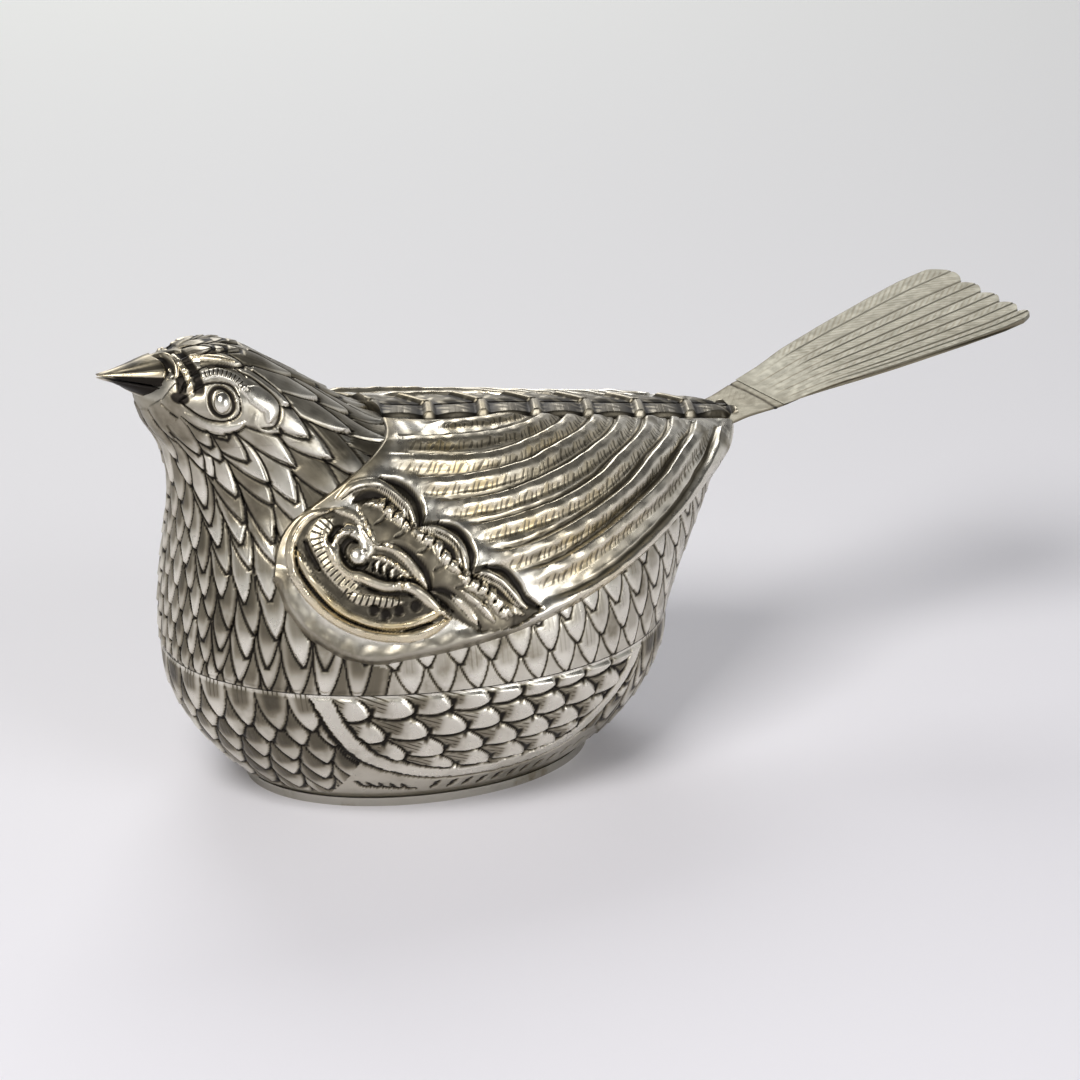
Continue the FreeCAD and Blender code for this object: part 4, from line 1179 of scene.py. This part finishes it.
def make_strap(context):
    """Strap over the back, with bars and mottled cells between them."""
    columns, rows = 520, 90
    x = np.linspace(STRAP_FRONT, STRAP_END, columns)[None] + np.zeros((rows, 1))
    half = STRAP_HALF - STRAP_NARROWING * smooth(41.0, STRAP_END, x)
    y = np.linspace(-1, 1, rows)[:, None] * half
    # Where the back falls away at the rump the strap bridges it
    ridge = roof_height(np.minimum(x, RUMP_EDGE), 0 * y) - 0.25 * np.maximum(x - RUMP_EDGE, 0)
    z = np.maximum(roof_height(np.minimum(x, RUMP_EDGE), y), ridge - 0.09 * y ** 2)
    points = np.stack([x, y, z], -1)
    normals = unit(np.cross(np.gradient(points, axis=1), np.gradient(points, axis=0)))
    normals *= np.sign(normals[..., 2:])
    field = Field(points, normals)
    x, out = field.place[:, 0], np.abs(field.place[:, 1])
    phase = (x - STRAP_FRONT - 0.45 * (STRAP_HALF - out)) % BAR_PITCH
    bar = smooth(5.9, 6.7, phase) * (1 - smooth(7.3, 8.2, phase))
    cell = np.sin(np.clip(phase / 5.7, 0, 1) * math.pi) * smooth(0.2, 1.4, out)
    mottle = 0.5 + 0.5 * np.sin(2.1 * x + 1.7 * np.sin(1.3 * out)) * np.sin(1.9 * out + 0.6)
    line = 1 - smooth(0.12, 0.3, out)
    edge = 1 - smooth(0.0, 0.7, half.ravel() - out)
    field.height = 0.7 + 0.6 * bar + 0.28 * cell * (1 - bar) - 0.2 * line
    field.height = field.height * (1 - edge) + 0.25 * edge
    field.patina = 0.9 - 0.55 * bar - (0.3 * cell + 0.3 * smooth(0.55, 0.9, mottle)) * (1 - bar)
    field.darken(ALL, 0.8 * line)
    field.gilt = (0.3 + 0.4 * bar) * (1 - 0.6 * smooth(2.0, 24.0, x))
    field.hatch = 0.5 * cell * (1 - bar)
    field.lay = 1.1 * x + 0.5 * out
    back = (points - 0.35 * normals)[[-1, rows // 2, 0]]
    loop = np.concatenate([field.raised().reshape(rows, columns, 3), back])
    loop, values = capped(loop, field.values((rows, columns), len(back), 0.5))
    strap = sheet_piece("strap", loop, values, close_rows=True)
    finish_piece(strap, "lid", silver(context, "chased_silver"), "aged_silver", "back_strap")


def make_tongue(context):
    """Tongue under the tail's root, with the lap line across it."""
    columns, rows = 80, 60
    s = np.linspace(TONGUE_START, TONGUE_END, columns)[None] + np.zeros((rows, 1))
    half = TONGUE_HALF * (0.8 + 0.2 * smooth(-1.0, 6.0, s))
    w = np.linspace(-1, 1, rows)[:, None] * half
    side = half - np.abs(w)
    lap = 1 - smooth(0.1, 0.3, np.abs(s - TONGUE_LAP + 0.05 * w ** 2 / TONGUE_HALF))
    top = -0.02 - 0.12 * (1 - smooth(0.0, 0.4, side)) - 0.1 * lap
    under = slice(None, None, -20)
    loop = np.concatenate([np.stack([s, w, top], -1), np.stack([s, w, 0 * s - 1.0], -1)[under]])
    values = {
        "patina": 0.3 + 0.4 * lap + 0.25 * (1 - smooth(0.2, 0.9, side)),
        "gilt": 0 * s,
        "hatch": 0.4 * smooth(0.4, 1.0, side),
        "lay": s / 1.1 - 0.8 * np.abs(w),
    }
    values = {key: np.concatenate([value, value[under]]) for key, value in values.items()}
    loop, values = capped(loop, values)
    tongue = sheet_piece("tail_tongue", in_tail_frame(loop), values, close_rows=True)
    finish_piece(tongue, "lid", silver(context, "dull_silver"), "aged_silver")


class BIRD_OT_strap(Operator):
    """Back strap with its bars, and the tongue under the tail"""
    bl_idname = "object_factory.bird_strap"
    bl_label = "Back strap"

    def execute(self, context):
        make_strap(context)
        make_tongue(context)
        return {"FINISHED"}


# Half breadth of the tail along its length, shares across where its feathers meet, and their lengths
TAIL_SIDES = ((0.0, 6.75), (0.06, 7.1), (0.14, 7.9), (0.28, 9.6), (0.42, 11.1), (0.66, 13.1), (0.82, 14.17),
              (0.93, 14.2))
TAIL_JOINTS = (-0.95, -0.72, -0.38, -0.02, 0.38, 0.97)
TAIL_TIPS = (0.956, 0.964, 0.972, 0.982, 0.996)
# Depth of the notches between feathers and of the outer corners as shares of the length, then the share
# across at which the half breadth is reached, and the most that the half breadth may be
TAIL_NOTCH, TAIL_CORNER = 0.032, 0.055
TAIL_EDGE, TAIL_HALF = 0.965, 14.25


def tail_outline(columns):
    """Shares across at the tip and the length at each, with as many columns to each scalloped feather."""
    lengths, shares = [], []
    part = np.linspace(0, 1, columns)
    for left, right, tip in zip(TAIL_JOINTS, TAIL_JOINTS[1:], TAIL_TIPS):
        start = tip - (TAIL_CORNER if left == TAIL_JOINTS[0] else TAIL_NOTCH)
        end = tip - (TAIL_CORNER if right == TAIL_JOINTS[-1] else TAIL_NOTCH)
        lengths.append(start * (1 - part) + end * part + (tip - (start + end) / 2) * 4 * part * (1 - part))
        shares.append(left + (right - left) * part)
    return np.concatenate(shares), np.concatenate(lengths)


class BIRD_OT_tail(Operator):
    """Tail fan with five feathers"""
    bl_idname = "object_factory.bird_tail"
    bl_label = "Tail"

    def execute(self, context):
        shares, lengths = tail_outline(48)
        rows = 230
        along = np.linspace(0, 1, rows)[:, None] * lengths
        breadth = np.interp(along, *np.transpose(TAIL_SIDES))
        across = np.clip(breadth * (shares / TAIL_EDGE), -TAIL_HALF, TAIL_HALF)
        s = TAIL_START + TAIL_LENGTH * along
        joints = np.array(TAIL_JOINTS)
        feather = np.clip(np.searchsorted(joints, shares, side="right") - 1, 0, 4)
        middle = (joints[feather] + joints[feather + 1]) / 2
        halfway = (joints[feather + 1] - joints[feather]) / 2
        # Distances from the middle of a feather and from its border
        offset = np.abs(shares - middle) * breadth
        border = halfway * breadth - offset
        root = 1 - smooth(0.0, 0.1, along)
        height = 0.05 * smooth(0, 1.0, border)
        height -= 0.12 * (1 - smooth(0.1, 0.3, offset)) * smooth(0.1, 0.3, along)
        height -= 0.1 * (1 - smooth(0.05, 0.3, border)) * smooth(0.2, 0.4, along)
        patina = 0.1 + 0.4 * (1 - smooth(0.05, 0.25, border)) + 0.2 * (1 - smooth(0.06, 0.2, offset))
        hatch = 0.42 * smooth(0.3, 0.6, border) * smooth(0.25, 0.5, offset) * smooth(0.1, 0.25, along)
        values = {
            "patina": patina * (1 - root) + 0.2 * root,
            "gilt": 0 * s,
            "hatch": hatch * (1 - smooth(0.97, 1.0, along / lengths)),
            "lay": s / 1.25 - offset * 0.9,
        }
        top = np.stack([s, across, 0.08 + (0.54 + height) * smooth(0.0, 0.25, along)], -1)
        bottom = np.stack([s, across, 0 * s], -1)
        under = np.linspace(rows - 1, 0, 12).astype(int)
        values = {key: np.concatenate([value, value[under]]) for key, value in values.items()}
        loop, values = capped(in_tail_frame(np.concatenate([top, bottom[under]])), values)
        piece = sheet_piece("tail", loop, values, close_rows=True)
        finish_piece(piece, "lid", silver(context, "dull_silver"), "sheet_silver", "tail_fan")
        return {"FINISHED"}


# Beak: reach and height of its root, length, rise to the tip, half depth and half breadth at the root
BEAK_ROOT, BEAK_HEIGHT = -35.0, 60.0
BEAK_LENGTH, BEAK_RISE = 12.3, 2.2
BEAK_DEPTH, BEAK_BREADTH = 4.5, 5.0
# Shares of depth and breadth along the beak
BEAK_ROWS = ((0.0, 1.0, 1.0), (0.34, 0.76, 0.80), (0.66, 0.40, 0.45), (0.88, 0.16, 0.20), (1.0, 0.05, 0.05))
# Mouth line: drop at the root and half of its gap
MOUTH_DROP, MOUTH_GAP = 0.39, 0.13
# Cuts across the upper beak and the ridge between them: place as a share of the length, and half breadth,
# which becomes a share of the length through the scale
BEAK_CUTS = ((0.36, 0.75), (0.20, 0.95))
BEAK_RIDGE = (0.28, 0.6)
BEAK_CUT_SCALE = 12.4


def chase_upper_beak(field, along, around):
    """Gilt band over a gape painted dark as shade, and two cuts with a ridge between them near the root."""
    open_part = smooth(0.22, 0.34, along)
    # Painted shade: the upper beak's underside along the gape is painted near black
    painted_gape_shade = (1 - smooth(0.10, 0.13, around)) * (1 - smooth(0.8, 0.92, along))
    band = smooth(0.10, 0.13, around) * (1 - smooth(0.18, 0.22, around)) * open_part
    above = smooth(0.20, 0.24, around) * (1 - smooth(0.27, 0.36, around)) * open_part
    above *= 1 - smooth(0.7, 0.9, along)
    streaks = np.sin(9 * along + 13 * around) * np.sin(6 * along - 15 * around + 1)
    field.patina = (0.5 + 0.3 * streaks) * (1 - band)
    field.darken(ALL, 0.8 * above)
    field.darken(ALL, 0.97 * painted_gape_shade)
    field.gilt = np.maximum(0.95 * band, 0.65 + 0.2 * smooth(0.72, 0.95, along)) * (1 - painted_gape_shade)
    field.height = 0.12 * (band - above - painted_gape_shade)
    reach = smooth(0.01, 0.06, around) * (1 - smooth(0.4, 0.49, around))
    sweep = 0.09 * np.sin(around * 2 * math.pi)
    for middle, broad in BEAK_CUTS:
        cut = (1 - smooth(0.5, 1.0, np.abs(along - middle + sweep) * BEAK_CUT_SCALE / broad)) * reach
        field.darken(ALL, 0.98 * cut)
        field.gilt *= 1 - cut
        field.height -= 0.4 * cut
    middle, broad = BEAK_RIDGE
    ridge = (1 - smooth(0.3, 1.0, np.abs(along - middle + sweep) * BEAK_CUT_SCALE / broad)) * reach
    field.height += 0.25 * ridge
    field.patina *= 1 - 0.8 * ridge
    field.gild(ALL, 0.35 * ridge)


def chase_lower_beak(field, along, run):
    """Sides painted dark as shade near the gape, and a gilt tip."""
    # Painted shade: the lower beak darkens within about 3 mm of the gape, under the upper beak
    side = (1 - smooth(2.2, 3.2, run)) * (1 - smooth(0.82, 0.95, along))
    field.patina = 0.2 + 0.75 * side
    field.gilt = 0.4 * smooth(0.8, 0.95, along)
    field.height = -0.15 * side * smooth(0.1, 0.5, run)


class BIRD_OT_beak(Operator):
    """Both halves of the beak"""
    bl_idname = "object_factory.bird_beak"
    bl_label = "Beak"

    def execute(self, context):
        rows, columns = 110, 100
        u = np.linspace(0, 1, rows)[:, None]
        depth, breadth = rows_at(BEAK_ROWS, u)
        depth, breadth = BEAK_DEPTH * depth, BEAK_BREADTH * breadth
        share = np.linspace(0, 1, columns)[None]
        along = (u + 0 * share).ravel()
        around = (np.minimum(share, 1 - share) + 0 * u).ravel()
        for name, sign in (("upper_beak", 1), ("lower_beak", -1)):
            low = np.arcsin(np.clip((MOUTH_DROP * u - MOUTH_DROP + sign * MOUTH_GAP) / depth, -0.9, 0.9))
            if sign > 0:
                turn = low + (math.pi - 2 * low) * share
            else:
                turn = 2 * math.pi + low - (math.pi + 2 * low) * share
            out = np.stack([0 * turn, -breadth * np.cos(turn), depth * np.sin(turn)], -1)
            points = out + np.stack([BEAK_ROOT - BEAK_LENGTH * u, 0 * u, BEAK_HEIGHT + BEAK_RISE * u], -1)
            normals = unit(np.cross(np.gradient(points, axis=1), np.gradient(points, axis=0)))
            normals *= np.sign((normals * out).sum(-1, keepdims=True))
            field = Field(points, normals)
            if sign > 0:
                chase_upper_beak(field, along, around)
            else:
                chase_lower_beak(field, along, (math.pi / 2 * (depth + breadth)).repeat(columns) * around)
            values = {key: value.T for key, value in field.values((rows, columns)).items()}
            loop, values = capped(np.swapaxes(field.raised().reshape(points.shape), 0, 1), values)
            piece = sheet_piece(name + "_chased", loop, values, close_rows=True, angle=50)
            finish_piece(piece, "lid", silver(context, "chased_silver"), "gilt_silver", name)
        return {"FINISHED"}


# Half sizes of the domed eye, and how far its middle stands off the head
EYE_SIZE = (1.15, 1.45, 0.95)
EYE_STAND = 0.15


class BIRD_OT_eyes(Operator):
    """Domed eyes"""
    bl_idname = "object_factory.bird_eyes"
    bl_label = "Eyes"

    def execute(self, context):
        for name, side in zip(("left_eye", "right_eye"), SIDES):
            normal = Vector(side_normal(*EYE, side))
            bpy.ops.object.select_all(action="DESELECT")
            bpy.ops.mesh.primitive_uv_sphere_add(segments=64, ring_count=32, radius=1, location=(0, 0, 0))
            eye = context.active_object
            eye.name = name + "_bead"
            eye.data.name = name + "_bead"
            eye.scale = Vector(EYE_SIZE) * MM
            eye.rotation_euler = normal.to_track_quat("Z", "Y").to_euler()
            eye.location = (Vector(side_point(*EYE, side)) + normal * EYE_STAND) * MM
            bpy.ops.object.transform_apply(location=True, rotation=True, scale=True)
            bpy.ops.object.shade_smooth()
            finish_piece(eye, "lid", silver(context, "bead_silver"), "aged_silver", name)
        return {"FINISHED"}


class BIRD_OT_plain(Operator):
    """Finishes of the pieces that stay as built"""
    bl_idname = "object_factory.bird_plain"
    bl_label = "Plain pieces"

    def execute(self, context):
        for name in ("foot_plate", "base_collar"):
            node = bpy.data.objects[name]
            node.data.materials.clear()
            node.data.materials.append(silver(context, "satin_silver"))
        return {"FINISHED"}


# Stage, in metres: floor and its paler colour far back, painted light where the lamps' light falls off,
# lamps, the world's colours from the horizon up, camera
FLOOR_SIZE = 1.4
FAR_FLOOR_PAINTED_LIGHT = (0.96, 0.97, 0.95, 1)
# Name, place, size, power and colour of each lamp
LAMPS = (
    ("key", (-0.42, -0.30, 0.62), 0.36, 4.4, (1.0, 0.98, 0.95)),
    ("fill", (0.30, -0.75, 0.30), 0.5, 2.4, (0.97, 0.98, 1.0)),
    ("rim", (0.25, 0.80, 0.70), 0.6, 4.0, (1.0, 1.0, 1.0)),
)
LAMP_AIM = (0.01, 0, 0.03)
WORLD_STOPS = ((0.08, (0.74, 0.74, 0.75, 1)), (0.60, (0.10, 0.10, 0.10, 1)))
WORLD_STRENGTH = 0.9
CAMERA_AIM = (0.0184, 0.0, 0.0282)
CAMERA_AZIMUTH, CAMERA_ELEVATION, CAMERA_DISTANCE = math.radians(-28), math.radians(20), 0.480
CAMERA_LENS = 112


def add_floor(context):
    """Pale floor, a little paler towards the back: painted light that makes up for the lamps' light falling
    off there.
    """
    bpy.ops.object.select_all(action="DESELECT")
    bpy.ops.mesh.primitive_plane_add(size=FLOOR_SIZE, location=(0, 0, 0))
    floor = context.active_object
    floor.name = "floor"
    material = bpy.data.materials.new("floor")
    nodes = Nodes(material)
    split = nodes.add("SeparateXYZ", {"Vector": nodes.add("TexCoord").outputs["Object"]})
    # Painted light: the far floor is painted paler to make up for the lamps' fall-off
    back = nodes.ramp(split.outputs["Y"], -0.05, 0.6, bend="LINEAR")
    colour = nodes.mix(back, (*context.scene.bird_colours.floor, 1), FAR_FLOOR_PAINTED_LIGHT)
    surface = nodes.add("BsdfPrincipled", {"Base Color": colour, "Roughness": 0.7, "Specular IOR Level": 0.2})
    nodes.add("OutputMaterial", {"Surface": surface.outputs["BSDF"]})
    floor.data.materials.append(material)


def add_lamps(context):
    for name, place, size, power, colour in LAMPS:
        bpy.ops.object.light_add(type="AREA", location=place)
        lamp = context.active_object
        lamp.name = name
        lamp.data.size = size
        lamp.data.energy = power
        lamp.data.color = colour
        lamp.rotation_euler = (Vector(LAMP_AIM) - Vector(place)).to_track_quat("-Z", "Y").to_euler()


def add_world(context):
    """Studio that is pale at the horizon and dark overhead."""
    world = bpy.data.worlds.new("studio")
    context.scene.world = world
    nodes = Nodes(world)
    split = nodes.add("SeparateXYZ", {"Vector": nodes.add("TexCoord").outputs["Generated"]})
    ramp = nodes.add("ValToRGB", {"Fac": split.outputs["Z"]})
    for stop, (place, colour) in zip(ramp.color_ramp.elements, WORLD_STOPS):
        stop.position = place
        stop.color = colour
    back = nodes.add("Background", {"Color": ramp.outputs["Color"], "Strength": WORLD_STRENGTH})
    nodes.add("OutputWorld", {"Surface": back.outputs["Background"]})


def add_camera(context):
    """Camera at the photograph's angle, framed for a square picture."""
    flat = math.cos(CAMERA_ELEVATION)
    side, ahead = math.sin(CAMERA_AZIMUTH) * flat, -math.cos(CAMERA_AZIMUTH) * flat
    away = Vector((side, ahead, math.sin(CAMERA_ELEVATION)))
    bpy.ops.object.camera_add(location=Vector(CAMERA_AIM) + away * CAMERA_DISTANCE)
    camera = context.active_object
    camera.name = "camera"
    camera.rotation_euler = (-away).to_track_quat("-Z", "Y").to_euler()
    camera.data.sensor_width = 36
    camera.data.lens = CAMERA_LENS
    camera.data.clip_start = 0.01
    camera.data.clip_end = 60
    context.scene.camera = camera


class BIRD_OT_stage(Operator):
    """Pale floor, soft lamps, world and camera"""
    bl_idname = "object_factory.bird_stage"
    bl_label = "Stage"

    def execute(self, context):
        add_floor(context)
        add_lamps(context)
        add_world(context)
        add_camera(context)
        context.scene.view_settings.view_transform = "Standard"
        return {"FINISHED"}


class BIRD_PT_panel(Panel):
    """Sizes, colours and steps of the bird box"""
    bl_idname = "BIRD_PT_panel"
    bl_label = "Bird box"
    bl_space_type = "VIEW_3D"
    bl_region_type = "UI"
    bl_category = "Bird box"

    def draw(self, context):
        for group in (context.scene.bird_sizes, context.scene.bird_colours):
            for key in group.__annotations__:
                self.layout.prop(group, key)
        for step in STEPS:
            self.layout.operator(step.bl_idname)


STEPS = (BIRD_OT_bowl, BIRD_OT_lid, BIRD_OT_beak, BIRD_OT_eyes, BIRD_OT_wings, BIRD_OT_strap, BIRD_OT_tail,
         BIRD_OT_plain, BIRD_OT_stage)
CLASSES = (BirdSizes, BirdColours) + STEPS + (BIRD_PT_panel,)


def register():
    for item in CLASSES:
        bpy.utils.register_class(item)
    bpy.types.Scene.bird_sizes = PointerProperty(type=BirdSizes)
    bpy.types.Scene.bird_colours = PointerProperty(type=BirdColours)


def unregister():
    del bpy.types.Scene.bird_colours
    del bpy.types.Scene.bird_sizes
    for item in reversed(CLASSES):
        bpy.utils.unregister_class(item)


def main():
    register()
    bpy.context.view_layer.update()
    bpy.ops.object_factory.bird_bowl()
    bpy.ops.object_factory.bird_lid()
    bpy.ops.object_factory.bird_beak()
    bpy.ops.object_factory.bird_eyes()
    bpy.ops.object_factory.bird_wings()
    bpy.ops.object_factory.bird_strap()
    bpy.ops.object_factory.bird_tail()
    bpy.ops.object_factory.bird_plain()
    bpy.ops.object_factory.bird_stage()


if __name__ == "__main__":
    main()
